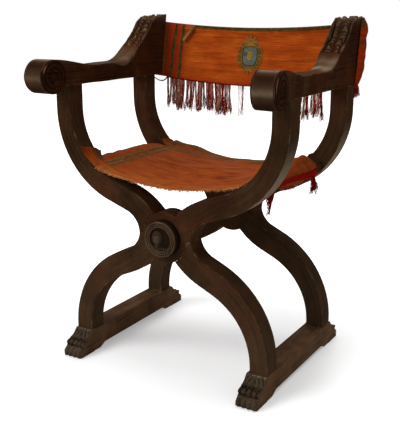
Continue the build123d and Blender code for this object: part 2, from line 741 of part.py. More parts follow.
# Galloon and embroidery lie on the front of the panel, between the blocks.
trim_offset = -(fabric_thickness + trim_thickness) / 2 - fabric_gap
with BuildPart() as back_top_galloon:
    with BuildSketch(back_plane):
        bowed_strip(trim_offset, back_galloon_half_span, trim_thickness)
    extrude(amount=back_reach_up)
    top_galloon_height = back_panel_top_height - back_top_galloon_inset
    bottom_galloon_height = top_galloon_height - galloon_width
    with BuildSketch(Plane.XZ):
        with BuildLine():
            ThreePointArc(
                (-panel_half_width, top_galloon_height),
                (0, top_galloon_height - back_top_sag),
                (panel_half_width, top_galloon_height),
            )
            Line((panel_half_width, top_galloon_height), (panel_half_width, bottom_galloon_height))
            ThreePointArc(
                (panel_half_width, bottom_galloon_height),
                (0, bottom_galloon_height - back_top_sag),
                (-panel_half_width, bottom_galloon_height),
            )
            Line((-panel_half_width, bottom_galloon_height), (-panel_half_width, top_galloon_height))
        make_face()
    extrude(amount=-chair_height, mode=Mode.INTERSECT)
back_top_galloon.part.label = "back_top_galloon"
export_step(back_top_galloon.part, "parts/back_top_galloon.step")

# Two upright bands near the left end, from the top galloon down to the hem.
with BuildPart() as back_side_galloons:
    with BuildSketch(back_plane.offset(-back_reach_down)):
        bowed_strip(trim_offset, back_galloon_half_span, trim_thickness)
    extrude(amount=back_reach_down + back_reach_up)
    with BuildSketch(Plane.XZ):
        with BuildLine():
            ThreePointArc(
                (-panel_half_width, bottom_galloon_height),
                (0, bottom_galloon_height - back_top_sag),
                (panel_half_width, bottom_galloon_height),
            )
            Line((panel_half_width, bottom_galloon_height), (panel_half_width, back_panel_bottom_height))
            ThreePointArc(
                (panel_half_width, back_panel_bottom_height),
                (0, back_panel_bottom_height - back_bottom_sag),
                (-panel_half_width, back_panel_bottom_height),
            )
            Line(
                (-panel_half_width, back_panel_bottom_height), (-panel_half_width, bottom_galloon_height)
            )
        make_face()
        with Locations(*[(place, arm_underside_height) for place in back_side_galloon_places]):
            Rectangle(galloon_width, arm_underside_height, mode=Mode.INTERSECT)
    extrude(amount=-chair_height, mode=Mode.INTERSECT)
back_side_galloons.part.label = "back_side_galloons"
export_step(back_side_galloons.part, "parts/back_side_galloons.step")

with BuildPart() as back_applique:
    with BuildSketch(back_plane):
        bowed_strip(trim_offset, applique_half_width + abs(applique_centre_x), trim_thickness)
    extrude(amount=back_reach_up)
    with BuildSketch(Plane.XZ):
        with Locations((applique_centre_x, chair_height - applique_drop)):
            Ellipse(applique_half_width, applique_half_height)
    extrude(amount=-chair_height, mode=Mode.INTERSECT)
back_applique.part.label = "back_applique"
export_step(back_applique.part, "parts/back_applique.step")

# The fringe hangs plumb from the lower hem. Long stretches of it are lost.
hem_lean_y = rake * (back_panel_bottom_height - back_bottom_sag - arm_underside_height)
fringe_plane = Plane(
    origin=(0, middle_y + block_rear_bottom + hem_lean_y, 0), x_dir=(1, 0, 0), z_dir=(0, 0, 1)
)
with BuildPart() as back_fringe:
    with BuildSketch(fringe_plane):
        bowed_strip(0, arm_inner_x, fringe_thickness)
    extrude(amount=chair_height)
    with BuildSketch(Plane.XZ):
        with BuildLine():
            ThreePointArc(
                (-panel_half_width, back_panel_bottom_height),
                (0, back_panel_bottom_height - back_bottom_sag),
                (panel_half_width, back_panel_bottom_height),
            )
            Line(
                (panel_half_width, back_panel_bottom_height),
                (panel_half_width, back_panel_bottom_height - fringe_length),
            )
            ThreePointArc(
                (panel_half_width, back_panel_bottom_height - fringe_length),
                (0, back_panel_bottom_height - back_bottom_sag - fringe_length),
                (-panel_half_width, back_panel_bottom_height - fringe_length),
            )
            Line(
                (-panel_half_width, back_panel_bottom_height - fringe_length),
                (-panel_half_width, back_panel_bottom_height),
            )
        make_face()
    extrude(amount=-chair_height, mode=Mode.INTERSECT)
    with BuildSketch(Plane.XZ):
        for span_start, span_end in fringe_spans:
            with Locations(((span_start + span_end) / 2, arm_underside_height)):
                Rectangle(span_end - span_start, arm_underside_height)
    extrude(amount=-chair_height, mode=Mode.INTERSECT)
back_fringe.part.label = "back_fringe"
export_step(back_fringe.part, "parts/back_fringe.step")

# Nails through the wrapped edge of the panel into the outer face of each block.
nail_head_x = arm_outer_x + fabric_thickness + 2 * fabric_gap
shank_start_x = arm_outer_x - nail_shank_length + fabric_gap
with BuildPart() as back_nails_right:
    with BuildSketch(Plane.YZ.offset(shank_start_x)):
        with Locations(*nail_spots):
            Circle(nail_shank_radius)
    extrude(amount=nail_head_x - shank_start_x)
    for spot_y, spot_z in nail_spots:
        with Locations((nail_head_x, spot_y, spot_z)):
            Cone(
                bottom_radius=nail_head_radius,
                top_radius=nail_head_radius / 2,
                height=nail_head_rise,
                rotation=(0, 90, 0),
                align=(Align.CENTER, Align.CENTER, Align.MIN),
            )
back_nails_right.part.label = "back_nails_right"
export_step(back_nails_right.part, "parts/back_nails_right.step")

with BuildPart() as back_nails_left:
    mirror(back_nails_right.part, about=Plane.YZ)
back_nails_left.part.label = "back_nails_left"
export_step(back_nails_left.part, "parts/back_nails_left.step")
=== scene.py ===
import math

import bmesh
import bpy
import numpy as np
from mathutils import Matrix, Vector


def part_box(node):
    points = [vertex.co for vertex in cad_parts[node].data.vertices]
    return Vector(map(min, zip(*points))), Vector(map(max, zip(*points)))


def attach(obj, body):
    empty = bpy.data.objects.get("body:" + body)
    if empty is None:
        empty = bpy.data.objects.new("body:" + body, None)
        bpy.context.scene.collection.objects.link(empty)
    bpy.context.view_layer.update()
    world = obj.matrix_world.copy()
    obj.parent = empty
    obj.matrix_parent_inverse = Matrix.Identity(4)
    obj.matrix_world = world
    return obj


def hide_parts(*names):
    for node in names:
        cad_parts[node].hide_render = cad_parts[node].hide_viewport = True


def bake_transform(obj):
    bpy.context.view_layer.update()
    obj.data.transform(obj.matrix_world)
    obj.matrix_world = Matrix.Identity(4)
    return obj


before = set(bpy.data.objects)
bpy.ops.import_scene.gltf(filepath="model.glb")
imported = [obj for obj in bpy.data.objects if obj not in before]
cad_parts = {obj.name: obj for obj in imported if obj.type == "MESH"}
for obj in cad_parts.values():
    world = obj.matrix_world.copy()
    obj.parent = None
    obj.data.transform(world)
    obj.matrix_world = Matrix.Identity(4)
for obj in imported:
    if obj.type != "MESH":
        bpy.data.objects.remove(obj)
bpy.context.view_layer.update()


# --- slats ----------------------------------------------------------------------------------------

# Four S-shaped slats of walnut, halved over each other at a round hub and pinned there. The grain
# follows each limb and the arrises are worn pale by hands and by folding. The outer underside of each
# post, where it turns in under the seat, has a painted grey sheen for the reflection of the floor, and
# the legs are a little greyer towards the foot.
HUB_Z = 0.369
POST_TOP = (0.314, 0.767)
SLEDGE_TOP = (-0.2705, 0.030)
SEAT_TURN_CENTRE = (0.104, 0.671)
SEAT_TURN_RADIUS = 0.210
LEG_TURN_CENTRE = (0.053, 0.077)
LEG_TURN_RADIUS = 0.2175
ARRIS_RADIUS = 0.0022
ARRIS_REACH = 0.007
GRAIN_SHIFT = 0.37
SHEEN_FROM = HUB_Z + 0.04


def linear(colour):
    """sRGB hex to linear RGBA: c / 12.92 up to 0.04045, ((c + 0.055) / 1.055) ^ 2.4 above it."""
    parts = [int(colour[i : i + 2], 16) / 255 for i in (1, 3, 5)]
    return (*[c / 12.92 if c <= 0.04045 else ((c + 0.055) / 1.055) ** 2.4 for c in parts], 1.0)


def plug(tree, node, inputs):
    """Gives each socket of a shader node its link, its constant or its sRGB hex colour."""
    for socket, value in inputs.items():
        if isinstance(value, bpy.types.NodeSocket):
            tree.links.new(value, node.inputs[socket])
        else:
            node.inputs[socket].default_value = linear(value) if isinstance(value, str) else value


def add(tree, kind, inputs=None, **settings):
    """Adds a shader node. settings are its properties, and inputs are for plug."""
    made = tree.nodes.new(kind)
    for name, value in settings.items():
        setattr(made, name, value)
    plug(tree, made, inputs or {})
    return made


def new_material(name):
    """A material with its principled shader: (material, tree, shader)."""
    made = bpy.data.materials.new(name)
    made.use_nodes = True
    return made, made.node_tree, made.node_tree.nodes["Principled BSDF"]


def reading(tree, name, output="Fac"):
    """The value that a mesh keeps for each point under this name."""
    made = add(tree, "ShaderNodeAttribute", attribute_name=name, attribute_type="GEOMETRY")
    return made.outputs[output]


def here_in(tree):
    """The place of each point in the object's own frame."""
    return add(tree, "ShaderNodeTexCoord").outputs["Object"]


def maths(tree, operation, a, b=0.0):
    return add(tree, "ShaderNodeMath", {0: a, 1: b}, operation=operation).outputs[0]


def scaled(tree, vector, scale):
    return add(tree, "ShaderNodeMapping", {"Vector": vector, "Scale": scale}).outputs[0]


def noise(tree, vector, scale, detail, roughness=0.55):
    """Smooth noise with about that many swells to the metre each way."""
    inputs = {"Vector": scaled(tree, vector, scale), "Scale": 1.0, "Detail": detail, "Roughness": roughness}
    return add(tree, "ShaderNodeTexNoise", inputs).outputs["Fac"]


def ramp(tree, value, *stops):
    """A colour for each value, between stops of (value, sRGB hex)."""
    made = add(tree, "ShaderNodeValToRGB", {"Fac": value})
    while len(made.color_ramp.elements) < len(stops):
        made.color_ramp.elements.new(1.0)
    for element, (place, colour) in zip(made.color_ramp.elements, stops):
        element.position = place
        element.color = linear(colour)
    return made.outputs["Color"]


def span(tree, value, low, high, to_low=0.0, to_high=1.0):
    """value from low..high to to_low..to_high, held at the ends."""
    inputs = {"Value": value, 1: low, 2: high, 3: to_low, 4: to_high}
    return add(tree, "ShaderNodeMapRange", inputs, clamp=True).outputs[0]


def layered(tree, body, *layers):
    """Lays colours over body, one for each (value, low, high, share, colour): none of it where value is
    low, that share of it where value is high. A layer that ends with "MULTIPLY" darkens instead."""
    for value, low, high, share, colour, *kind in layers:
        inputs = {0: span(tree, value, low, high, 0.0, share), 6: body, 7: colour}
        blend_type = kind[0] if kind else "MIX"
        body = add(tree, "ShaderNodeMix", inputs, data_type="RGBA", blend_type=blend_type).outputs[2]
    return body


def raised(tree, height, distance, strength):
    """A bump of that height map, distance metres deep."""
    inputs = {"Height": height, "Distance": distance, "Strength": strength}
    return add(tree, "ShaderNodeBump", inputs).outputs["Normal"]


def walnut(name, dark, middle, red, worn, roughness=(0.34, 0.55), gloss=0.0006):
    """Old waxed walnut. Streaks of 5 mm by 160 mm and pores of 1 mm by 40 mm run with the grain, red and
    brown drift over 100 mm, dark and pale clouds of 80 mm lie on them, wax and dirt fill the hollows,
    and worn arrises are pale. Low relief also carries painted shade in bands on the arm rolls, and high
    relief a painted highlight on the scroll rims. The greyish layer marks bare places where the wax is
    gone, and it paints sheen and reflections as well."""
    made, tree, shader = new_material(name)
    grain = reading(tree, "grain", "Vector")
    relief = reading(tree, "relief")
    here = here_in(tree)
    streak = noise(tree, grain, (150, 150, 5), 4)
    pore = noise(tree, grain, (1000, 1000, 24), 2)
    drift = noise(tree, here, (8, 8, 8), 3)
    cloud = noise(tree, here, (13, 13, 9), 4, 0.6)
    patch = noise(tree, here, (38, 38, 38), 4)
    high = maths(tree, "ADD", relief, span(tree, patch, 0.36, 0.64, -0.5, 0.2))
    # how grey the wood turns: bare wood where the wax is gone, and painted sheen and painted reflections
    bare_and_sheen_amount = maths(tree, "MULTIPLY", reading(tree, "bare_and_sheen"), span(tree, streak, 0.3, 0.7, 0.7, 1.0))
    body = layered(
        tree, ramp(tree, streak, (0.3, dark), (0.52, middle), (0.78, dark)),
        (drift, 0.42, 0.66, 0.6, red), (pore, 0.42, 0.30, 0.6, dark, "MULTIPLY"),
        (cloud, 0.46, 0.64, 0.4, "#150d09"), (cloud, 0.44, 0.32, 0.1, worn), (high, 0.7, 1.2, 0.75, worn),
        # 83735c is that grey, bare wood and painted sheen; #0c0705 is dirt in the hollows and painted shade
        # bands on the rolls
        (bare_and_sheen_amount, 0.0, 1.0, 1.0, "#83735c"), (relief, -0.15, -0.8, 0.85, "#0c0705"),
    )
    height = maths(tree, "ADD", maths(tree, "MULTIPLY", pore, 0.5), patch)
    height = maths(tree, "ADD", height, streak)
    plug(tree, shader, {
        "Base Color": body, "Roughness": span(tree, patch, 0.3, 0.7, *roughness),
        "Normal": raised(tree, height, 0.00012, 0.6), "IOR": 1.5, "Specular IOR Level": gloss,
    })
    return made


slat_wood = walnut("worn_walnut", "#27190e", "#3a2819", "#482618", "#67523a")


def placed(name, data):
    """An object in the scene that shows the data."""
    made = bpy.data.objects.new(name, data)
    bpy.context.scene.collection.objects.link(made)
    return made


def mesh_object(name, points, faces, materials, merge=False, **fields):
    """An object from an (n, 3) array of points and a list of (k, c) arrays of corner numbers, with
    points in one place merged if asked. Each field is a number or a vector for every point, kept in the
    mesh under its name."""
    mesh = bpy.data.meshes.new(name)
    mesh.from_pydata(points.tolist(), [], [corners for part in faces for corners in part.tolist()])
    mesh.validate()
    keep_fields(mesh, fields)
    bm = bmesh.new()
    bm.from_mesh(mesh)
    if merge:
        bmesh.ops.remove_doubles(bm, verts=bm.verts, dist=1e-5)
    bmesh.ops.recalc_face_normals(bm, faces=bm.faces)
    bm.to_mesh(mesh)
    bm.free()
    mesh.shade_smooth()
    for material in materials:
        mesh.materials.append(material)
    return placed(name, mesh)


def keep_fields(mesh, fields):
    """Writes each field's values into the mesh, as numbers or as vectors."""
    for name, values in fields.items():
        kind, slot = ("FLOAT_VECTOR", "vector") if values.ndim > 1 else ("FLOAT", "value")
        field = mesh.attributes.new(name, kind, "POINT")
        field.data.foreach_set(slot, np.ascontiguousarray(values, np.float32).ravel())


def points_of(mesh):
    """The mesh's points as an (n, 3) array."""
    points = np.empty(3 * len(mesh.vertices), np.float32)
    mesh.vertices.foreach_get("co", points)
    return points.reshape(-1, 3).astype(float)


def nearest_run(points, starts, ends):
    """For each point: (distance to the nearest run, that run's number, share along it), where runs go
    from starts to ends and the share is (p - a).(b - a) / |b - a|^2, held to 0..1."""
    distances = np.full(len(points), 1e9)
    numbers = np.zeros(len(points), int)
    shares = np.zeros(len(points))
    for number, (a, b) in enumerate(zip(starts, ends)):
        d = b - a
        share = np.clip((points - a) @ d / max(d @ d, 1e-12), 0, 1)
        distance = np.linalg.norm(points - a - share[:, None] * d, axis=1)
        nearer = distance < distances
        distances[nearer] = distance[nearer]
        numbers[nearer] = number
        shares[nearer] = share[nearer]
    return distances, numbers, shares


def cut(bm, place, normal, **settings):
    """Cuts all of a mesh by the plane through that place."""
    everything = bm.verts[:] + bm.edges[:] + bm.faces[:]
    bmesh.ops.bisect_plane(bm, geom=everything, plane_co=place, plane_no=normal, dist=1e-6, **settings)


def cut_copy(node, cuts, radius=ARRIS_RADIUS):
    """A copy of a CAD piece made ready for carving: points merged, flat faces joined, arrises eased by
    that radius, then cut by the planes in cuts, {axis: places}. Returns the mesh and its relief, which
    falls from 1 at an outer arris, and from -1 at an inner one, to 0 over 7 mm."""
    bm = bmesh.new()
    bm.from_mesh(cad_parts[node].data)
    bmesh.ops.remove_doubles(bm, verts=bm.verts, dist=1e-5)
    bmesh.ops.dissolve_limit(bm, angle_limit=math.radians(0.3), verts=bm.verts, edges=bm.edges)
    sharp = [e for e in bm.edges if len(e.link_faces) == 2 and e.calc_face_angle(0.0) > math.radians(30)]
    ends = np.array([[v.co[:] for v in e.verts] for e in sharp])
    outer = np.array([e.is_convex for e in sharp])
    eased = [e for e in sharp if e.is_convex and e.calc_length() > 0.012]
    bmesh.ops.bevel(
        bm, geom=eased, offset=radius, segments=2, profile=0.5, affect="EDGES", clamp_overlap=True
    )
    for axis, places in cuts.items():
        normal = [float(i == axis) for i in range(3)]
        for place in places:
            cut(bm, [place * part for part in normal], normal)
    mesh = bpy.data.meshes.new(node + "_wood")
    bm.to_mesh(mesh)
    bm.free()
    points = points_of(mesh)
    relief = np.zeros(len(points))
    for sign, kept in ((1, outer), (-1, ~outer)):
        if kept.any():
            distance, _, _ = nearest_run(points, ends[kept, 0], ends[kept, 1])
            relief += sign * np.clip(1 - distance / ARRIS_REACH, 0, 1) ** 1.5
    return mesh, relief


def wood_piece(node, body, mesh, relief, grain, material, bare_and_sheen=None):
    """Finishes a carved copy: shading, fields and material, and it stands for its CAD node."""
    keep_fields(mesh, {"relief": relief, "grain": grain, "bare_and_sheen": 0 * relief if bare_and_sheen is None else bare_and_sheen})
    mesh.shade_smooth()
    mesh.set_sharp_from_angle(angle=math.radians(55))
    mesh.materials.clear()
    mesh.materials.append(material)
    made = placed(node + "_wood", mesh)
    flat = made.modifiers.new("even_faces", "WEIGHTED_NORMAL")
    flat.keep_sharp = True
    flat.weight = 60
    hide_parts(node)
    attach(made, body)


def smoothstep(value, low, high):
    """3 t^2 - 2 t^3, where t is value's share from low to high."""
    t = np.clip((value - low) / (high - low), 0, 1)
    return t * t * (3 - 2 * t)


def steps_along(line):
    """The way along a line of points to each of them."""
    return np.concatenate([[0], np.cumsum(np.linalg.norm(np.diff(line, axis=0), axis=1))])


def slat_grain(points, side):
    """(across, thickness, along) for each point of a slat: the nearest place on its middle line, which
    is the post, the seat turn, the hub and the leg turn."""
    turn = np.radians(np.linspace(0, -71, 16))
    knee = np.radians(np.linspace(66, 0, 16))
    seat = np.c_[np.cos(turn), np.sin(turn)] * SEAT_TURN_RADIUS + SEAT_TURN_CENTRE
    leg = np.c_[np.cos(knee), np.sin(knee)] * LEG_TURN_RADIUS + LEG_TURN_CENTRE
    leg[:, 0] *= -1
    line = np.concatenate([[POST_TOP], seat, [(0, HUB_Z)], leg, [SLEDGE_TOP]])
    place = np.c_[points[:, 0] * side, points[:, 2]]
    distance, run, share = nearest_run(place, line[:-1], line[1:])
    d = (line[1:] - line[:-1])[run]
    off = place - line[:-1][run]
    turned = np.sign(d[:, 0] * off[:, 1] - d[:, 1] * off[:, 0])
    along = steps_along(line)[run] + share * np.linalg.norm(d, axis=1)
    return np.c_[distance * turned + GRAIN_SHIFT * side, points[:, 1], along]


for node, body, side in (
    ("front_slat_right", "right_frame", 1),
    ("rear_slat_right", "right_frame", 1),
    ("front_slat_left", "left_frame", -1),
    ("rear_slat_left", "left_frame", -1),
):
    low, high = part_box(node)
    depth = np.linspace(low[1], high[1], 9)[1:-1]
    across = np.arange(low[0] + 0.004, high[0], 0.009)
    upward = np.arange(low[2] + 0.004, high[2], 0.009)
    mesh, relief = cut_copy(node, {0: across, 1: depth, 2: upward})
    points = points_of(mesh)
    grain = slat_grain(points, side)
    outer = (grain[:, 0] - GRAIN_SHIFT * side) * side
    facing = np.empty(len(points) * 3, np.float32)
    mesh.vertex_normals.foreach_get("vector", facing)
    # painted reflection of the floor: a grey sheen on the outer downward faces of the seat turn
    bare_and_sheen = 0.85 * (outer > 0.02) * smoothstep(np.abs(facing[1::3]), 0.8, 0.4)
    bare_and_sheen *= smoothstep(-facing[2::3], 0.05, 0.60) * smoothstep(points[:, 2], SHEEN_FROM, SHEEN_FROM + 0.05)
    # a little greyer towards the foot
    bare_and_sheen += 0.07 * smoothstep(points[:, 2], 0.40, 0.10)
    wood_piece(node, body, mesh, relief, grain, slat_wood, bare_and_sheen)


# --- seat rails and pivot pins --------------------------------------------------------------------

# A walnut rail is tenoned between the slats on each side and carries the seat. A turned walnut pin
# goes through each hub.
for node, body in (
    ("left_seat_rail", "left_frame"),
    ("right_seat_rail", "right_frame"),
    ("front_pivot_pin", "right_frame"),
    ("rear_pivot_pin", "right_frame"),
):
    low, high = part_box(node)
    places = {i: np.arange(low[i] + 0.004, high[i], 0.012) for i in range(3)}
    mesh, relief = cut_copy(node, places, 0.001)
    points = points_of(mesh)
    wood_piece(node, body, mesh, relief, points[:, [0, 2, 1]], slat_wood)


# --- sledges --------------------------------------------------------------------------------------

# A walnut sledge joins the feet of the slats on each side. Both ends are carved as lion's paws: four
# toes, a row of curled tufts over them, and a sloping cuff of leaf flutes under a square lip.
SLEDGE_X = 0.2685
SLEDGE_HALF_WIDTH = 0.0285
SLEDGE_HEIGHT = 0.064
SLEDGE_ENDS = (-0.2405, 0.2795)
PAW_LENGTH = 0.066
PAW_PROFILE = (
    (66, 0), (40, 0), (16, 0), (7, 0.6), (2.5, 4), (1, 10), (2.5, 16), (8, 21.5), (14, 24.5), (15, 28),
    (14.5, 33), (18, 39), (25, 44.5), (33, 47.5), (41, 48.5), (48, 52), (53, 57), (57, 62.6), (59, 64),
    (62, 64), (66, 64),
)
sledge_wood = walnut("sledge_walnut", "#35251a", "#5c442f", "#60422e", "#84705a", (0.36, 0.6), 0.003)
paw_wood = walnut("paw_walnut", "#292017", "#4b4033", "#4b3828", "#746754", (0.36, 0.6))


def joined(*parts):
    """Arrays put together as the coordinates of points."""
    return np.stack(np.broadcast_arrays(*parts), axis=-1)


def bell(value, middle, width):
    """exp(-((value - middle) / width)^2)."""
    return np.exp(-(((value - middle) / width) ** 2))


def plateau(value, start, full, fall, end):
    """A smooth rise from 0 to 1 between start and full, and a smooth fall between fall and end."""
    return smoothstep(value, start, full) * (1 - smoothstep(value, fall, end))


def arched(value):
    """sqrt(1 - value^2) between -1 and 1, and 0 beyond."""
    return np.sqrt(np.clip(1 - value**2, 0, 1))


def waves(points, length, seed, count=16):
    """Smooth noise of about unit height: the sum of sines of one wave length in random directions,
    over the root of half their number. points are an array, or a tuple of coordinates."""
    if isinstance(points, tuple):
        points = joined(*points)
    random = np.random.default_rng(seed)
    ways = random.normal(size=(count, points.shape[-1]))
    ways *= 2 * np.pi / length / np.linalg.norm(ways, axis=1)[:, None]
    phases = random.uniform(0, 2 * np.pi, count)
    return np.sin(points @ ways.T + phases).sum(axis=-1) / math.sqrt(count / 2)


def tubes(rings):
    """(points, faces) of closed solids through rings of points, (solids, rings, points, 3), with a flat
    face on the first ring and on the last."""
    numbers = np.arange(rings[..., 0].size).reshape(rings.shape[:3])
    beside = np.roll(numbers, -1, axis=2)
    quads = joined(numbers[:, :-1], beside[:, :-1], beside[:, 1:], numbers[:, 1:]).reshape(-1, 4)
    return rings.reshape(-1, 3), [quads, np.concatenate([numbers[:, 0, ::-1], numbers[:, -1]])]


def evenly(line, count):
    """count points at even distances along a line of points."""
    line = np.asarray(line, float)
    steps = steps_along(line)
    places = np.linspace(0, steps[-1], count)
    return joined(*[np.interp(places, steps, part) for part in line.T])


def paw(node, body, side, tip, way):
    """A paw at the end of a sledge. Each ring is the side profile at one place across the width. It is
    moved inwards along its normal by the carving: 5 mm (1 - sqrt(1 - t^2)) between toes, where t goes
    from -1 to 1 over each toe, half that between tufts, and 1.7 mm of flutes on the cuff."""
    profile = evenly(PAW_PROFILE, 150) / 1000
    for _ in range(3):
        profile[1:-1] = (profile[:-2] + 2 * profile[1:-1] + profile[2:]) / 4  # rounds it a little
    ahead = np.gradient(profile, axis=0)
    outward = np.c_[-ahead[:, 1], ahead[:, 0]] / np.linalg.norm(ahead, axis=1)[:, None]
    u = np.linspace(-1, 1, 73)[:, None]
    s, z = profile[:, 0][None], profile[:, 1][None]
    front = smoothstep(0.052 - s, 0.0, 0.008) * smoothstep(z, 0.0, 0.003)
    toes = front * (1 - smoothstep(z, 0.020, 0.026))
    tufts = front * smoothstep(z, 0.024, 0.029) * (1 - smoothstep(z, 0.046, 0.050))
    cuff = plateau(z, 0.047, 0.051, 0.060, 0.0625) * smoothstep(0.060 - s, 0, 0.003)
    t = (u * 2 + 2) % 1 * 2 - 1
    lobe = arched(t * 0.94)
    k = (u * 2 + 2.5) % 1 * 2 - 1
    curl = np.hypot(k, (z - 0.037) / 0.009)
    tuft = np.clip(np.cos(curl * 2.6) * 0.5 + 0.5, 0, 1)
    flute = 0.5 + 0.5 * np.cos(2 * np.pi * (2.5 * np.abs(u) + (z - 0.047) / 0.016))
    claw = bell(t, 0, 0.36) * bell(z, 0.005, 0.004) * toes
    carved = toes * (0.0052 * (1 - lobe) + 0.0016 * np.sin(z / 0.006) ** 2 * np.abs(t))
    carved += tufts * (0.0044 * (1 - tuft)) + cuff * 0.0017 * (1 - flute)
    carved -= claw * 0.0016
    corner = np.clip((np.abs(u) - 0.91) / 0.09, 0, 1)
    carved += 0.0025 * (1 - arched(corner)) * smoothstep(z, 0.002, 0.01) * (s < 0.0659)
    grid = profile[None] - outward[None] * carved[..., None]
    x = side * SLEDGE_X + u * SLEDGE_HALF_WIDTH + 0 * s
    rings = joined(x, tip + way * grid[..., 0], grid[..., 1])
    relief = toes * (lobe * 1.2 - 1.0) + tufts * (tuft * 1.3 - 0.9) + cuff * (flute - 0.7)
    relief = relief + 1.3 * bell(z, 0.0635, 0.0020) * smoothstep(0.064 - s, 0, 0.003)
    relief = relief * (1 - 0.7 * corner)
    flat = rings.reshape(-1, 3)
    rings[..., 1] += way * 0.0005 * waves(flat, 0.012, 5).reshape(relief.shape) * front
    points, faces = tubes(rings[None])
    relief = 0.85 * relief.ravel() + 0.22 * waves(flat, 0.008, 8) * np.abs(relief.ravel())
    made = mesh_object(
        node, points, faces, [paw_wood, sledge_wood], relief=relief, grain=flat[:, [0, 2, 1]]
    )
    for side_face in made.data.polygons[-2:]:
        side_face.material_index = 1
    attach(made, body)


for node, body, side in (("right_sledge", "left_frame", 1), ("left_sledge", "right_frame", -1)):
    low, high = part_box(node)
    upward = np.arange(0.004, SLEDGE_HEIGHT, 0.008)
    across = np.linspace(low[0], high[0], 9)[1:-1]
    mesh, _ = cut_copy(node, {0: across, 1: np.arange(-0.17, 0.22, 0.012), 2: upward}, 0.0025)
    bm = bmesh.new()
    bm.from_mesh(mesh)
    for tip, way in zip(SLEDGE_ENDS, (1, -1)):
        cut(bm, (0, tip + way * PAW_LENGTH, 0), (0, -way, 0), clear_outer=True)
        bmesh.ops.holes_fill(bm, edges=[e for e in bm.edges if e.is_boundary])
    bm.to_mesh(mesh)
    bm.free()
    points = points_of(mesh)
    relief = np.zeros(len(points))
    for x in (low[0], high[0]):
        relief += np.exp(-np.hypot(points[:, 0] - x, points[:, 2] - SLEDGE_HEIGHT) / 0.004)
    wood_piece(node, body, mesh, relief, points[:, [0, 2, 1]], sledge_wood)
    for end, tip, way in zip(("front", "rear"), SLEDGE_ENDS, (1, -1)):
        paw(f"{node}_{end}_paw", body, side, tip, way)


# --- arms -----------------------------------------------------------------------------------------

# A walnut arm lies on the posts of each side. It rolls over into a scroll in front, and rises behind
# into a block that is carved with an acanthus leaf on its slope and on its crown.
ARM_X = (0.278, 0.335)
SPLAY_START = -0.0405
SPLAY_LENGTH = 0.239
SPLAY = 0.012
SCROLL_Y = -0.2365
SCROLL_Z = 0.760
SCROLL_RIM = 0.0432
RIDGE_PITCH = 0.0115
CARVED_FROM, CARVED_TO = 0.112, 0.2575
LEAF_LENGTH = 0.100
LEAF_DEPTH = 0.0062
TOP_SKIN = 0.0028
# strength of the painted sheen at the foot of each arm's rise, by side
RISE_SHEEN = {1: 0.50, -1: 0.20}
arm_wood = walnut("arm_walnut", "#200f07", "#371e0f", "#45200f", "#74543a", (0.28, 0.45))
scroll_wood = walnut("scroll_walnut", "#1d0e07", "#321b0f", "#3c1e12", "#8a604a", (0.28, 0.45))


def splayed(y):
    """How far the arm's sides have moved outwards at y: 12 mm t^2, t being the share of the way from
    where the splay starts to the front of the scroll."""
    return SPLAY * (np.clip(SPLAY_START - y, 0, None) / SPLAY_LENGTH) ** 2


def leaf_carving(t, v):
    """(depth in metres, relief) of an acanthus leaf, t from -1 to 1 across it and v along it in leaf
    lengths. Lobes leave the midrib every 0.16, rise by 0.15 sin(pi a) and droop, a being the share of
    their length. Each is a ridge with a vein and fingers, and a plain border runs beside the leaf."""
    s = np.abs(t)
    a = np.clip((s - 0.04) / 0.70, 0, 1)
    within = smoothstep(s, 0.80, 0.72)
    height = 0.45 * bell(t, 0, 0.09)
    for number in range(-1, 13):
        middle = 0.16 * number + 0.15 * np.sin(np.pi * a) - 0.07 * a
        b = (v - middle) / (0.095 * np.sqrt(np.sin(np.pi * np.clip(a, 0.06, 0.97))))
        finger = 0.5 + 0.5 * np.cos(2 * np.pi * (3.2 * a - 0.7 * np.abs(b)))
        lobe = (1 - np.clip(b, -1, 1) ** 2) * (0.75 + 0.25 * np.sin(np.pi * a)) * within
        lobe = lobe * (1 - 0.35 * finger * np.abs(b)) - 0.30 * bell(b, 0, 0.16) * within
        height = np.maximum(height, np.where(np.abs(b) < 1, lobe, 0))
    border = smoothstep(s, 0.79, 0.83) * (1 - 0.45 * bell(s, 0.90, 0.022))
    depth = LEAF_DEPTH * (1 - np.maximum(np.clip(height, 0, 1.1), border))
    return depth, np.maximum(height * 2.2 - 0.95, border * 1.5 - 0.75)


def top_profile(x, y, z):
    """(y, z) of the arm's top along its inner face: the highest point in each of 400 slices, from the
    rise of the block on never lower than the slice before it."""
    inner = (np.abs(x) < ARM_X[0] + 0.004) & (z > 0.775)
    order = np.argsort(y[inner])
    top_y, top_z = y[inner][order], z[inner][order]
    places = np.linspace(top_y.min(), top_y.max(), 400)
    top = np.full(400, -1.0)
    np.maximum.at(top, np.clip(np.searchsorted(places, top_y), 0, 399), top_z)
    known = top > 0
    top = np.interp(places, places[known], top[known])
    rise = places > 0.05
    top[rise] = np.maximum.accumulate(top[rise])
    return places, top


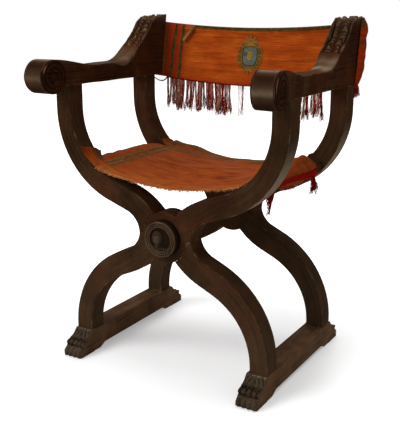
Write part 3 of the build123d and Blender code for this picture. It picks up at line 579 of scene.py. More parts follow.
def carved_arm(node, body, side):
    """An arm: the leaf is cut into slope and crown, the crown swells into lumps, and the inner arris of
    the rise is rounded by 9 mm. A painted sheen lies along the top, strongest at the foot of the rise,
    painted highlights and painted shade lie in bands across the roll, and the carved ridges and the
    crown's lumps are greyer."""
    upward = np.concatenate([np.arange(0.739, 0.80, 0.009), np.arange(0.806, 0.898, 0.006)])
    along = np.concatenate([np.arange(-0.276, CARVED_FROM, 0.008), np.arange(CARVED_FROM, 0.262, 0.0014)])
    across = np.concatenate([np.arange(0.2795, 0.3345, 0.0013), [0.338, 0.342]]) * side
    mesh, relief = cut_copy(node, {1: along, 0: across, 2: upward})
    points = points_of(mesh)
    x, y, z = points.T
    t = (np.abs(x) - np.mean(ARM_X)) / (0.5 * (ARM_X[1] - ARM_X[0]))
    places, top = top_profile(x, y, z)
    run = np.concatenate([[0], np.cumsum(np.hypot(np.diff(places), np.diff(top)))])
    v = (np.interp(y, places, run) - np.interp(CARVED_FROM, places, run)) / LEAF_LENGTH
    on_top = (z > np.interp(y, places, top) - TOP_SKIN) & (y > CARVED_FROM) & (y < CARVED_TO)
    depth, marks = leaf_carving(t + 0.07 * waves(points, 0.034, 15), v + 0.04 * waves(points, 0.028, 16))
    fade = smoothstep(v, 0.02, 0.10) * (1 - smoothstep(y, 0.252, CARVED_TO))
    steep = np.interp(y, places, np.gradient(top, places))
    size = np.hypot(1, steep)
    push = (depth * fade)[on_top]
    points[on_top, 1] += push * (steep / size)[on_top]
    points[on_top, 2] -= push / size[on_top]
    relief[on_top] = (marks * fade)[on_top]
    near_top = (z > np.interp(y, places, top) - TOP_SKIN) & (y > SCROLL_Y)
    # painted sheen on the arm top, strongest at the foot of the rise and on the right arm
    rise_sheen = RISE_SHEEN[side] * bell(y, 0.066, 0.026) * (0.85 + 0.3 * waves(points, 0.03, 13))
    bare_and_sheen = near_top * (0.06 + rise_sheen) * smoothstep(y, CARVED_FROM + 0.010, CARVED_FROM - 0.012)
    bare_and_sheen[on_top] += 0.24 * smoothstep(relief[on_top], 0.35, 1.0)
    bumps = np.clip(0.5 + 0.7 * waves(points * [1, 1, 0], 0.014, 14), 0, 1)
    crown = smoothstep(z, 0.880, 0.890) * smoothstep(y, 0.190, 0.205)
    points[:, 2] += (0.0025 + 0.0055 * bumps) * crown
    relief += 0.7 * crown * (bumps - 0.5)
    bare_and_sheen += 0.15 * crown * bumps
    below = np.clip(1 - (np.interp(y, places, top) - z) / 0.030, 0, 1)
    corner = np.clip((-t - 0.35) / 0.65, 0, 1)
    softened = plateau(y, -0.02, 0.05, 0.095, 0.115)
    points[:, 2] -= 0.009 * (1 - arched(corner)) * softened * below
    turn = np.degrees(np.arctan2(z - SCROLL_Z, SCROLL_Y - y))
    on_roll = (y < SCROLL_Y + 0.004) & (np.hypot(z - SCROLL_Z, y - SCROLL_Y) > 0.036)
    # a faint grey over the roll, and painted highlights in bands at its top and its front, the front one
    # stronger on the right arm
    bare_and_sheen += on_roll * (0.06 + 0.52 * bell(turn, 82, 12) + (0.32 + 0.10 * side) * bell(turn, -2, 11))
    # painted shade: dark reflection bands across the roll, between and below the painted highlights
    dark_reflection_bands = 0.6 * bell(turn, 42, 20) + 0.6 * bell(turn, -50, 22)
    relief -= on_roll * dark_reflection_bands * (relief < 0.3)
    points += 0.0004 * waves(points, 0.09, 31)[:, None] * np.array([1, 0, 1])
    mesh.vertices.foreach_set("co", points.astype(np.float32).ravel())
    mesh.update()
    wood_piece(node, body, mesh, relief, points[:, [0, 2, 1]], arm_wood, np.clip(bare_and_sheen, 0, 1))


def full_turn(count):
    """That many angles, evenly round a full turn."""
    return np.linspace(0, 2 * np.pi, count + 1)[:-1]


def scroll_cap(name, body, side, face):
    """The carved end of the scroll, on its inner (face -1) or outer (face 1) side. A rounded ridge
    winds in from the rim, 11.5 mm nearer the eye with each turn a, towards a small rosette."""
    r = np.concatenate([np.linspace(0.0006, 0.0424, 92), [SCROLL_RIM, SCROLL_RIM]])[:, None]
    a = full_turn(128)[None]
    ridge = 0 * (r + a)
    for number in range(2):
        place = 0.0398 - RIDGE_PITCH * (number + a / (2 * np.pi))
        here = arched((r - place) / 0.0036) * smoothstep(place, 0.0105, 0.0145)
        ridge = np.maximum(ridge, here)
    petal = np.abs(np.cos(3 * a)) ** 0.5 * np.clip(np.sin(np.pi * r / 0.0105), 0, 1) * (r < 0.0105)
    eye = arched(r / 0.0040)
    height = 0.0003 + 0.0020 * ridge + 0.0015 * petal + 0.0016 * eye
    height = np.where(r > 0.0431, -0.002, height)  # its last two rings lie in the wood
    height[-1] = -0.003
    edge = ARM_X[0] if face < 0 else ARM_X[1]
    y = SCROLL_Y - r * np.sin(a)
    z = SCROLL_Z + r * np.cos(a)
    x = side * (edge + splayed(y) + face * height)
    relief = np.maximum(ridge, np.maximum(petal, eye)) * 0.75 - 0.5
    # the rim's front is worn paler and carries a painted highlight
    relief = relief + 1.1 * ridge * (r > 0.034) * bell(np.degrees(a), 66, 46)
    points, faces = tubes(joined(x, y, z)[None])
    grain = points[:, [0, 2, 1]]
    made = mesh_object(name, points, faces, [scroll_wood], relief=relief.ravel(), grain=grain)
    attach(made, body)


for node, body, side in (("right_arm", "right_frame", 1), ("left_arm", "left_frame", -1)):
    carved_arm(node, body, side)
    for name, face in (("outer", 1), ("inner", -1)):
        scroll_cap(f"{node}_{name}_scroll_cap", body, side, face)


# --- medallion ------------------------------------------------------------------------------------

# A turned and carved walnut boss covers the front hub: three rings round a sunk field, with a small
# classical head in relief under waved hair. The face is a plain ideal one.
MEDALLION_RADIUS = 0.047
MEDALLION_BACK = -0.1745
MEDALLION_FACE = -0.1945
HEAD_X = -0.009
PAIRED_FEATURES = (
    (-1.5, 4.7, 0.4, 2.9, 2.0), (1.1, 4.7, 0.1, 1.9, 1.1), (0.7, 4.465, 3.2, 3.4, 0.9),
    (0.5, 5.64, -4.5, 2.6, 2.6),
)
SINGLE_FEATURES = (
    (1.9, 0, -2.6, 1.2, 3.4), (1.3, 0, -5.6, 1.7, 1.2), (0.9, 0, -9.3, 2.9, 0.7), (0.8, 0, -11.0, 2.4, 0.8),
    (-0.5, 0, -10.1, 3.0, 0.4), (0.9, 0, -14.3, 2.4, 1.6),
)
carved_wood = walnut("carved_walnut", "#362a1e", "#564433", "#5b3c2a", "#7c6852")


def head_relief(u, v):
    """Height in mm of the head, u and v in mm from between its eyes. The head is half an ellipsoid
    23 wide and 34 high. By the usual canon the eyes lie half way down it, the nose reaches a quarter
    lower, and the mouth lies a third of the way from the nose to the chin. Each feature is a swelling
    of (height, middle across, middle up, half width, half height)."""
    skull = 6.6 * arched(np.hypot(u / 11.5, v / 17.0))
    hair_edge = np.hypot(u / 15.5, (v - 3.0) / 19.0)
    strands = 0.5 + 0.5 * np.cos(np.hypot(u, v + 4) * 1.9 + 0.5 * np.sin(np.arctan2(u, v + 6) * 9))
    hair = 5.2 * arched(hair_edge) + 1.1 * strands * (hair_edge < 0.97)
    shows_hair = smoothstep(np.hypot(u / 10.2, (v + 1.5) / 11.6), 0.90, 1.05) * smoothstep(v, -12, -6)
    face = skull
    for side, features in ((-1, PAIRED_FEATURES), (1, PAIRED_FEATURES), (1, SINGLE_FEATURES)):
        for size, across, up, wide, tall in features:
            face = face + size * bell(u, side * across, wide) * bell(v, up, tall)
    neck = 3.2 * arched(u / 7.5) * smoothstep(-v, 12, 17) * smoothstep(v, -27, -22)
    dress = 2.6 * smoothstep(-v, 19, 22) * (0.7 + 0.3 * np.cos(u * 0.9 + v * 0.5))
    hair = hair * np.maximum(shows_hair, 1.0 * (skull <= 0))
    return np.maximum(np.maximum(face * (1 - shows_hair), hair), np.maximum(neck, dress))


r = np.concatenate([np.linspace(0.0004, 0.0455, 120), [0.0465, MEDALLION_RADIUS, MEDALLION_RADIUS]])
r = r[:, None]
a = full_turn(180)[None]
u, v = r * np.sin(a), r * np.cos(a)
rings_at = [(0.0438, 0.0025, 3.4), (0.0381, 0.0021, 3.0), (0.0326, 0.0021, 2.8)]
bead = sum(h * arched((r - at) / w) for at, w, h in rings_at)
field = 1 - smoothstep(r, 0.0275, 0.0295)
head = head_relief((u - HEAD_X) * 1000, v * 1000) * field
height = bead + 1.2 * head - 1.5 * field + 0.12 * waves((u, v), 0.006, 3) * field
depth = MEDALLION_FACE - height / 1000
depth[-3:] = np.array([MEDALLION_FACE + 0.0004, MEDALLION_FACE + 0.002, MEDALLION_BACK])[:, None]
dips = sum(np.gradient(np.gradient(height, axis=i), axis=i) for i in (0, 1))
relief = np.clip(bead / 2.6, 0, 1) * 1.5 - 0.8
relief = relief + field * np.clip((head - 3.0) / 4.0, -0.4, 1.1) - 2.5 * dips * field
relief = np.clip(relief, -1, 1.1).ravel()
points, faces = tubes(joined(u, depth, HUB_Z + v)[None])
made = mesh_object("front_medallion_carved", points, faces, [carved_wood], relief=relief, grain=points)
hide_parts("front_medallion")
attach(made, "right_frame")


# --- seat cloth -----------------------------------------------------------------------------------

# One width of orange-red silk rep hangs between the rails. It rolls over each rail and down outside
# it, and at the corners a tab is turned up against each slat. It is worn, pulled into long folds.
SPAN_FRONT, SPAN_REAR = -0.1232, 0.1662
SEAT_Y = (-0.1725, 0.2115)
SLING_RADIUS = 0.73475
SLING_CENTRE_Z = 1.22975
RAIL_CORNER = (0.245, 0.529)
ROLL_RADIUS = 0.0076
RAIL_FAR_X = 0.269
DRAPE = 0.034
TAB_CENTRE = (0.111, 0.671)
TAB_RADIUS = 0.1784
TAB_FOOT_X = 0.2161
TAB_TURNS = {-1: (19.5, 9.0), 1: (4.5, 9.5)}
CLOTH_THICKNESS = 0.0013


def silk(name, colour, deep, faded, stain):
    """Worn silk rep. Ribs 1 mm apart run along the weft, slubs of 2 mm by 60 mm are darker or paler,
    places are faded where rub is above 0 and stained where it is below, and soil and painted shade are
    olive brown."""
    made, tree, shader = new_material(name)
    weft = reading(tree, "cloth", "Vector")
    rub = reading(tree, "rub")
    slub = noise(tree, weft, (16, 520, 1), 3, 0.6)
    body = layered(
        tree, ramp(tree, slub, (0.30, deep), (0.5, colour), (0.72, faded)),
        (noise(tree, weft, (15, 24, 1), 4), 0.36, 0.66, 0.55, deep),
        (rub, 0.0, 1.0, 0.8, faded), (rub, 0.0, -1.0, 0.9, stain),
        (noise(tree, weft, (90, 1500, 1), 2), 0.35, 0.65, 0.3, deep, "MULTIPLY"),
        (reading(tree, "soil"), 0.0, 1.0, 0.9, "#3f311a"),
    )
    inputs = {"Vector": scaled(tree, weft, (1, 1000, 1)), "Scale": 0.3183}
    rib = add(tree, "ShaderNodeTexWave", inputs, bands_direction="Y").outputs["Fac"]
    height = maths(tree, "ADD", rib, maths(tree, "MULTIPLY", slub, 2.0))
    plug(tree, shader, {
        "Base Color": body, "Normal": raised(tree, height, 0.0004, 0.7), "Roughness": 0.75,
        "Specular IOR Level": 0.02,
    })
    return made


seat_silk = silk("orange_silk_seat", "#944415", "#6a2309", "#a95a22", "#571c0a")

# The seat's section in x and z: the sling arc to the slat (point FOOT) and on to the rail (point RAIL),
# the roll over the rail, and the drape down its outer side.
FOOT, RAIL = 59, 70
sling_turn = np.arcsin(TAB_FOOT_X / SLING_RADIUS)
rail_turn = np.arctan2(RAIL_CORNER[0], SLING_CENTRE_Z - RAIL_CORNER[1])
turns = np.concatenate([np.linspace(0, sling_turn, 60), np.linspace(sling_turn, rail_turn, 12)[1:]])
hang = np.c_[SLING_RADIUS * np.sin(turns), SLING_CENTRE_Z - SLING_RADIUS * np.cos(turns)]
over = np.linspace(rail_turn, 0, 6)[1:]
on_rail = np.c_[RAIL_CORNER[0] - ROLL_RADIUS * np.sin(over), RAIL_CORNER[1] + ROLL_RADIUS * np.cos(over)]
off = np.linspace(0, np.pi / 2, 12)
far_side = np.c_[RAIL_FAR_X + ROLL_RADIUS * np.sin(off), RAIL_CORNER[1] + ROLL_RADIUS * np.cos(off)]
down = np.c_[np.full(12, RAIL_FAR_X + ROLL_RADIUS), RAIL_CORNER[1] - np.linspace(0, DRAPE, 13)[1:]]
seat_path = np.concatenate([hang, on_rail, far_side, down])
seat_steps = steps_along(seat_path)
foot_w, rail_w, end_w = seat_steps[[FOOT, RAIL, -1]]
FOLDS = (  # middle in y, its drift by the slat, from and to along the cloth, height and width in mm
    (-0.050, -0.03, -0.13, 0.12, 2.6, 5.0), (-0.015, -0.05, -0.12, 0.16, 3.2, 4.5),
    (0.022, -0.04, -0.15, 0.08, 2.4, 5.5), (0.055, -0.05, -0.05, 0.19, 2.6, 5.0),
    (-0.085, -0.02, -0.02, 0.20, 2.0, 5.0), (0.100, -0.03, -0.17, 0.02, 1.8, 6.0),
    (-0.120, 0.01, -0.18, 0.10, 1.6, 5.0), (0.135, -0.02, 0.02, 0.20, 1.8, 5.0),
    (-0.002, -0.06, 0.04, 0.21, 2.2, 4.0),
)


def seat_lift(w, y):
    """How far the cloth stands up from its even curve: 11 mm more at the rear hem than in front, 14 mm
    more at the left of that hem, and long bell-shaped folds that drift as they cross the seat. It lies
    close on the rails."""
    lift = 0.011 * smoothstep(y, SEAT_Y[0], SEAT_Y[1]) * np.clip(1 - (w / foot_w) ** 2, 0, 1)
    lift = lift + 0.014 * smoothstep(y, 0.160, SEAT_Y[1]) * smoothstep(-w, 0.03, 0.17)
    for start, drift, low, high, height, width in FOLDS:
        middle = start + drift * (w / foot_w)
        window = plateau(w, low - 0.03, low + 0.04, high - 0.05, high + 0.03)
        lift = lift + height / 1000 * bell((y - middle) * 1000, 0, width) * window
    lift = lift + 0.0009 * waves((w, y * 2.2), 0.085, 12)
    return lift * (1 - 0.9 * bell(np.abs(w) - rail_w, 0.012, 0.012))


def seat_puff(w, y):
    """The slack over a rail: up to 25 mm high on the right, 4 mm on the left."""
    along = 0.84 * bell(y, 0.078, 0.068) + 0.25 * bell(y, -0.06, 0.04)
    size = np.where(w > 0, 0.030, 0.005) * (1 + 0.05 * np.sin(y * 95 + w * 40))
    return size * along * bell(np.abs(w) - rail_w, -0.004, 0.024)


def along_path(way, steps, path, reach):
    """(place, place, slope, slope): where a path in a plane has come to after that way along it, and
    its direction there, taken over reach to both sides."""
    place = [np.interp(way, steps, part) for part in path.T]
    d = [np.interp(way + reach, steps, part) - np.interp(way - reach, steps, part) for part in path.T]
    size = np.maximum(np.hypot(*d), 1e-9)
    return *place, d[0] / size, d[1] / size


def seat_point(w, y, off=0.0):
    """Points of the seat cloth: w is the way along it from the middle, y the depth of the chair, off a
    distance above it. The curve is the sling arc, the rail and the drape, moved by lift and puff."""
    w, y = np.broadcast_arrays(np.asarray(w, float), np.asarray(y, float))
    way = np.abs(w)
    x, z, dx, dz = along_path(way, seat_steps, seat_path, 0.0015)
    lift = seat_lift(w, y) + off
    inside = plateau(y, SPAN_FRONT, SPAN_FRONT + 0.02, SPAN_REAR - 0.02, SPAN_REAR)
    puff = seat_puff(w, y) * inside
    outside = np.clip((way - rail_w - 0.03) / (end_w - rail_w - 0.03), 0, 1)
    belly = 0.003 * inside * np.sin(np.pi * outside) * (way > rail_w)
    x = x - dz * lift + belly + 0.35 * puff
    z = z + dx * lift + puff
    return joined(np.where(w < 0, -x, x), y, z)


def tab_point(side, share, y, turn):
    """Points of a tab: share 0 to 1 of its turn up the inner edge of the slat, an arc from the cloth.
    The tips are ragged. They curl away from the wood, 4 mm behind and 14 mm at the left front, and
    that one also leans 18 mm forward. The right front one lies flat."""
    front, left_front = y < 0, (y < 0) & (side < 0)
    rounded = 0.30 * np.where(front, smoothstep(y, -0.162, -0.132), smoothstep(y, 0.185, 0.210))
    turn = turn * (1 + 0.035 * waves((y, 0), 0.016, 61) - rounded)
    curl = np.where(front, 0.014 * left_front, 0.004)
    start = np.arctan2(hang[FOOT, 1] - TAB_CENTRE[1], hang[FOOT, 0] - TAB_CENTRE[0])
    a = start + np.radians(turn) * share
    radius = TAB_RADIUS - 0.0006 * np.sin(np.pi * share) * (1 + np.sin(y * 300)) - curl * share**3
    forward = 0.018 * left_front * share**2 * smoothstep(-y, 0.135, 0.170)
    x = TAB_CENTRE[0] + radius * np.cos(a)
    flat = joined(side * x, y - forward, TAB_CENTRE[1] + radius * np.sin(a))
    base = seat_point(np.full_like(y, side * foot_w), y)
    return flat + (base - flat[:1]) * (1 - smoothstep(share, 0, 0.5))[..., None]


def drape_end(y):
    """Way along the cloth to the worn hem of the drape, which is shorter near the front slats."""
    return end_w - 0.013 - 0.011 * smoothstep(-y, 0.060, 0.125) + 0.0012 * waves((y, 0), 0.02, 62)


def cloth_object(name, grids, thickness, material):
    """One cloth from grids of (points, (across, along), rub, soil and painted shade), joined where they
    meet, then given its thickness, half to each side."""
    points = np.concatenate([g[0].reshape(-1, 3) for g in grids])
    weft = np.concatenate([joined(*g[1], 0).reshape(-1, 3) for g in grids])
    rub, soil = (np.concatenate([g[i].ravel() for g in grids]) for i in (2, 3))
    faces, start = [], 0
    for rows, columns in (g[2].shape for g in grids):
        numbers = start + np.arange(rows * columns).reshape(rows, columns)
        corners = numbers[:-1, :-1], numbers[1:, :-1], numbers[1:, 1:], numbers[:-1, 1:]
        faces.append(joined(*corners).reshape(-1, 4))
        start += rows * columns
    flat = mesh_object(name, points, faces, [material], merge=True, cloth=weft, rub=rub, soil=soil)
    thick = flat.modifiers.new("thickness", "SOLIDIFY")
    thick.thickness = thickness
    thick.offset = 0.0
    thick.use_even_offset = False
    graph = bpy.context.evaluated_depsgraph_get()
    mesh = bpy.data.meshes.new_from_object(
        flat.evaluated_get(graph), preserve_all_data_layers=True, depsgraph=graph
    )
    flat.modifiers.clear()
    flat.data = mesh
    return flat


front_rows = np.linspace(SEAT_Y[0], SPAN_FRONT, 18)
middle_rows = np.linspace(SPAN_FRONT, SPAN_REAR, 110)
rear_rows = np.linspace(SPAN_REAR, SEAT_Y[1], 18)
all_rows = np.concatenate([front_rows, middle_rows[1:], rear_rows[1:]])
seat_parts = []
w, y = np.meshgrid(np.linspace(-foot_w, foot_w, 190), all_rows, indexing="ij")
to_front = y - SEAT_Y[0]
spots = np.clip(0.75 + 0.5 * waves((w * 0.6, y), 0.016, 43), 0, 1.2)
hem = spots * np.exp(-to_front / 0.020) + 0.5 * np.exp(-((SEAT_Y[1] - y) / 0.006))
hem = hem + 0.35 * smoothstep(-y, 0.06, 0.15)
streaks = waves((w * 0.30, y * 1.9), 0.050, 44) + 0.5 * waves((w * 0.25, y * 2.6), 0.021, 46)
streaks = smoothstep(streaks, 1.0, 2.5)
blotch = 0.8 + 0.35 * waves((w, y), 0.022, 47)
soil = 0.06 * streaks + 0.42 * blotch * smoothstep(y, 0.158, 0.175)
soil = soil + 0.45 * np.clip(waves((w, y), 0.012, 48), 0, 1) * np.exp(-to_front / 0.022)
soil = soil + 0.30 * blotch * smoothstep(np.abs(w), foot_w - 0.040, foot_w - 0.018)
worn = 0.0022 * waves((w, 0), 0.011, 77) + 0.006 * bell(w, -0.010, 0.004)
y = y + worn * np.exp(-to_front / 0.004)
seat_parts.append((seat_point(w, y), (w, y), hem * 0.9 - 0.85 * streaks, soil))
for side in (-1, 1):
    share, y = np.meshgrid(np.linspace(0, 1, 64), middle_rows, indexing="ij")
    w = foot_w + share * (drape_end(y) - foot_w)
    narrower = 1 - 0.150 * smoothstep(w, rail_w - 0.020, rail_w + 0.018)
    y = SPAN_FRONT + (y - SPAN_FRONT) * narrower
    redder = -0.4 * bell(w - rail_w, 0.022, 0.012)
    grimy = 0.30 * bell(w, foot_w, 0.012)
    seat_parts.append((seat_point(side * w, y), (side * w, y), redder, grimy))
    for rows, turn in zip((front_rows, rear_rows), TAB_TURNS[side]):
        share, y = np.meshgrid(np.linspace(0, 1, 26), rows, indexing="ij")
        w = side * (foot_w + share * TAB_RADIUS * math.radians(turn))
        red = -0.35 * smoothstep(share, 0.4, 1.0) * smoothstep(-y, 0.140, 0.155) - 0.2 * (y > 0)
        soil = 0.85 * smoothstep(share, 0.15, 0.5) * smoothstep(y, -0.150, -0.138) * (y < 0) * (side < 0)
        soil = soil + (0.15 if side > 0 else 0.50) * smoothstep(y, 0.168, 0.182)
        seat_parts.append((tab_point(side, share, y, turn), (w, y), red, soil))
seat_cloth = cloth_object("seat_cloth", seat_parts, CLOTH_THICKNESS, seat_silk)


# --- seat galloons --------------------------------------------------------------------------------

# Woven galloon, olive with the gold rubbed off, 9 mm wide, sewn on the cloth: two bands along each
# side and two along the rear hem. The front one of the rear pair is torn near the right slat.
GALLOON_WIDTH, GALLOON_THICKNESS = 0.009, 0.0008
SIDE_BANDS = (0.221, 0.204)
REAR_BANDS = (0.2025, 0.1680)


def galloon_weave(name, dark, olive, gold):
    """Galloon of silk over gold thread: cross ribs of 1.4 mm in a zigzag, olive with worn gold."""
    made, tree, shader = new_material(name)
    weft = reading(tree, "cloth", "Vector")
    parts = add(tree, "ShaderNodeSeparateXYZ", {0: weft}).outputs
    slant = maths(tree, "MULTIPLY", maths(tree, "ABSOLUTE", parts["Y"]), 0.8)
    slant = maths(tree, "ADD", parts["X"], slant)
    rib = maths(tree, "SINE", maths(tree, "MULTIPLY", slant, 2 * math.pi / 0.0014))
    patch = noise(tree, weft, (70, 150, 1), 4, 0.65)
    body = layered(
        tree, ramp(tree, patch, (0.36, dark), (0.5, olive), (0.64, gold)),
        (rib, 1.0, -1.0, 0.45, "#20160a"), (reading(tree, "rub"), 0.0, 1.0, 0.6, "#a08a58"),
    )
    plug(tree, shader, {
        "Base Color": body, "Normal": raised(tree, rib, 0.0004, 0.8), "Roughness": 0.55,
        "Specular IOR Level": 0.02,
    })
    return made


seat_galloon = galloon_weave("worn_galloon", "#4a3012", "#67441d", "#80602f")


def band(surface, places, across, lift=0.0011, arch=0.0005):
    """A grid for a band of galloon: places (n, 2) is its middle line on a surface, across (2,) its
    width way. Its section is a low arch."""
    t = np.linspace(-1, 1, 7)[None]
    p, q = (places[:, i][:, None] + across[i] * t * GALLOON_WIDTH / 2 for i in (0, 1))
    points = surface(p, q, lift + arch * (1 - t**2))
    along = steps_along(points[:, 3])[:, None] + 0 * t
    edge = 0 * p + 0.5 * np.abs(t) ** 4
    return points, (along, 0 * along + t * GALLOON_WIDTH / 2), edge, 0 * edge


def way_at(x):
    """Way along the seat cloth at which it has come to x."""
    return np.interp(x, seat_path[: RAIL + 2, 0], seat_steps[: RAIL + 2])


seat_bands = []
for side in (-1, 1):
    for x, last in zip(SIDE_BANDS, (SPAN_REAR - 0.001, REAR_BANDS[1] - 0.004)):
        rows = np.linspace(SPAN_FRONT + 0.001, last, 90)
        seat_bands.append(band(seat_point, np.c_[np.full(90, side * way_at(x)), rows], (1, 0)))
for y, torn in zip(REAR_BANDS, (0.0, 0.03)):
    reach = way_at(SIDE_BANDS[1]) + 0.0045
    line = np.linspace(-reach, reach - torn, 190)
    loose = smoothstep(line, reach - 0.100, reach - 0.060) * (torn > 0)
    wander = y + 0.0008 * np.sin(line * 70) + 0.004 * loose * np.sin(line * 150)
    lift = 0.0011 + 0.006 * loose * np.abs(np.sin(line * 110))
    seat_bands.append(band(seat_point, np.c_[line, wander], (0, 1), lift[:, None]))
seat_trim = cloth_object("seat_galloon_bands", seat_bands, GALLOON_THICKNESS, seat_galloon)
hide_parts("seat_galloons")


# --- seat fringe ----------------------------------------------------------------------------------

# What is left of the seat's silk fringe: a braided red header sewn along the outer hem, frayed
# threads under it, and a tassel at each end. The front hem of the cloth is frayed too.
HEADER_END_Y = 0.122
CLUMP_PULL = 0.34
FRONT_THREADS, REAR_THREADS, FRAYED_THREADS, HEM_THREADS = 60, 90, 160, 420


def thread_silk(name):
    """Fringe silk: dark red, here and there faded to pink and beige, with the twist of each thread."""
    made, tree, shader = new_material(name)
    reds = ((0.0, "#360808"), (0.35, "#6a100d"), (0.62, "#a01208"), (0.8, "#b86a5c"), (1.0, "#b3977a"))
    twist = noise(tree, reading(tree, "cloth", "Vector"), (900, 900, 900), 1)
    body = layered(
        tree, ramp(tree, reading(tree, "tone"), *reds), (twist, 0.4, 0.6, 0.35, "#2a0808", "MULTIPLY")
    )
    plug(tree, shader, {"Base Color": body, "Roughness": 0.7, "Specular IOR Level": 0.01})
    return made


fringe_silk = thread_silk("fringe_silk")


def directions(lines):
    """The direction of each line, (lines, points, axes), at each of its points."""
    ahead = np.gradient(lines, axis=1)
    return ahead / np.maximum(np.linalg.norm(ahead, axis=2, keepdims=True), 1e-12)


def threads(name, lines, widths, tones, material, sides=4):
    """Closed thin tubes along lines, (threads, points, 3). At each point the section has corners at
    equal angles round the line's direction, at half the width."""
    ahead = directions(lines)
    steep = np.abs(ahead[..., 2:3]).mean(axis=1, keepdims=True) > 0.6
    right = np.cross(ahead, np.where(steep, np.array([1.0, 0, 0]), np.array([0, 0.3, 1.0])))
    right /= np.maximum(np.linalg.norm(right, axis=2, keepdims=True), 1e-12)
    up = np.cross(right, ahead)
    angles = np.arange(sides)[:, None] * 2 * np.pi / sides
    half = np.broadcast_to(np.asarray(widths, float), lines.shape[:2])[..., None, None] / 2
    section = np.cos(angles) * right[:, :, None] + np.sin(angles) * up[:, :, None]
    points, faces = tubes(lines[:, :, None] + half * section)
    tone = np.repeat(np.asarray(tones, float), lines.shape[1] * sides)
    return mesh_object(name, points, faces, [material], tone=tone, cloth=points)


def hanging(roots, lengths, seed, clump, sway=0.006, points=14):
    """Lines of threads that hang from roots (n, 3). Threads of a clump, by their number in clump, draw
    together by a third towards their tip, and each sways as it goes down."""
    random = np.random.default_rng(seed)
    count, clumps = len(roots), clump.max() + 1
    s = np.linspace(0, 1, points)[None, :, None]
    centres = np.zeros((clumps, 3))
    np.add.at(centres, clump, roots)
    centres = (centres / np.maximum(np.bincount(clump, minlength=clumps)[:, None], 1))[clump]
    lean = random.normal(size=(clumps, 2))[clump] * sway
    own = random.normal(size=(count, 2)) * sway * 0.55
    phase = random.uniform(0, 2 * np.pi, (count, 2))
    pull = CLUMP_PULL * s**1.3
    lines = roots[:, None] * (1 - pull) + centres[:, None] * pull
    lines[..., :2] += (lean + own)[:, None] * s**1.4 + 0.0012 * np.sin(s * 9 + phase[:, None]) * s
    lines[..., 2] = roots[:, 2, None] - lengths[:, None] * s[..., 0]
    return lines


for side, node, body in ((1, "seat_fringe_right", "right_frame"), (-1, "seat_fringe_left", "left_frame")):
    random = np.random.default_rng(60 + side)
    rows = np.linspace(SPAN_FRONT + 0.002, HEADER_END_Y, 200)
    header_w = end_w - 0.0295 + 0.0075 * smoothstep(rows, -0.06, 0.10)
    lines = []
    for k in range(5):
        turn = rows * 900 + k * 2.1
        apart = (k - 2) * (0.0018 + 0.0012 * smoothstep(rows, -0.08, 0.08))
        w = side * (header_w + apart + 0.0008 * np.sin(turn + 1.2))
        lines.append(seat_point(w, rows, 0.0021 + 0.0011 * np.sin(turn)))
    tones = [0.42, 0.60, 0.50, 0.62, 0.44]
    header = threads(node + "_header", np.array(lines), 0.0030, tones, fringe_silk, 6)
    front = random.uniform(SPAN_FRONT + 0.001, SPAN_FRONT + 0.011, FRONT_THREADS)
    rear = random.uniform(HEADER_END_Y - 0.040, HEADER_END_Y - 0.017, REAR_THREADS)
    ends = np.concatenate([front, rear])
    roots = seat_point(side * (drape_end(ends) - 0.003), ends, 0.002)
    count = len(ends)
    long = np.where(ends < 0, 0.068, 0.052) * random.uniform(0.45, 1.05, count)
    clump = np.where(ends < 0, random.integers(0, 2, count), random.integers(2, 6, count))
    lines = hanging(roots, long, 17 + side, clump, 0.004)
    lines[..., 0] -= side * 0.018 * (ends < 0)[:, None] * np.linspace(0, 1, lines.shape[1]) ** 0.7
    tassels = threads(node + "_tassels", lines, 0.0012, random.uniform(0.15, 0.6, count), fringe_silk)
    loose = random.uniform(SPAN_FRONT + 0.02, HEADER_END_Y, FRAYED_THREADS)
    roots = seat_point(side * (drape_end(loose) - 0.001), loose, 0.001)
    long = random.uniform(0.003, 0.010, FRAYED_THREADS)
    lines = hanging(roots, long, 23 + side, np.arange(FRAYED_THREADS) // 4, 0.002, 6)
    frayed = threads(node + "_frayed", lines, 0.0009, random.uniform(0.3, 0.9, FRAYED_THREADS), fringe_silk)
    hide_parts(node)
    for piece in (header, tassels, frayed):
        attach(piece, body)

hem_silk, tree, shader = new_material("frayed_hem_silk")
tan = ramp(tree, reading(tree, "tone"), (0.0, "#8a3c14"), (0.5, "#b8722c"), (1.0, "#c99a58"))
plug(tree, shader, {"Base Color": tan, "Roughness": 0.7})
random = np.random.default_rng(91)
ways = random.uniform(-foot_w, foot_w, HEM_THREADS)
x, y, z = seat_point(ways, SEAT_Y[0] + 0.003, 0.0006).T[..., None]
s = np.linspace(0, 1, 6)[None]
lengths = random.uniform(0.003, 0.009, (HEM_THREADS, 1))
drift = random.normal(size=(HEM_THREADS, 1)) * 0.004
droop = random.uniform(0.001, 0.005, (HEM_THREADS, 1))
hem_lines = joined(x + drift * s, y - lengths * s, z - droop * s**2)
hem_fray = threads("seat_hem_fray", hem_lines, 0.0008, random.uniform(0, 1, HEM_THREADS), hem_silk)

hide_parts("seat_sling")
for piece in (seat_cloth, seat_trim, hem_fray):
    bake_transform(piece)


# --- back panel -----------------------------------------------------------------------------------

# The same silk is stretched between the arm blocks, wrapped round their rear edges and nailed to
# their outer faces. It bows a little backwards, sags along its edges, and is drawn from side to side.
LEAN = math.atan(27 / 165)
BACK_FOOT = (0.2325, 0.735)
BACK_OFFSET = 0.0016
BACK_BOW = 0.014
BLOCK_INNER_X = 0.278
WRAP_CORNER = (0.326, -0.009)
WRAP_RADIUS = 0.0106
WRAP_END = -0.0180
TOP_HEM = (0.893, 0.873)
LOW_HEM = (0.736, 0.712)
back_silk = silk("orange_silk_back", "#b04d14", "#8a3009", "#bf6420", "#8a1f0e")

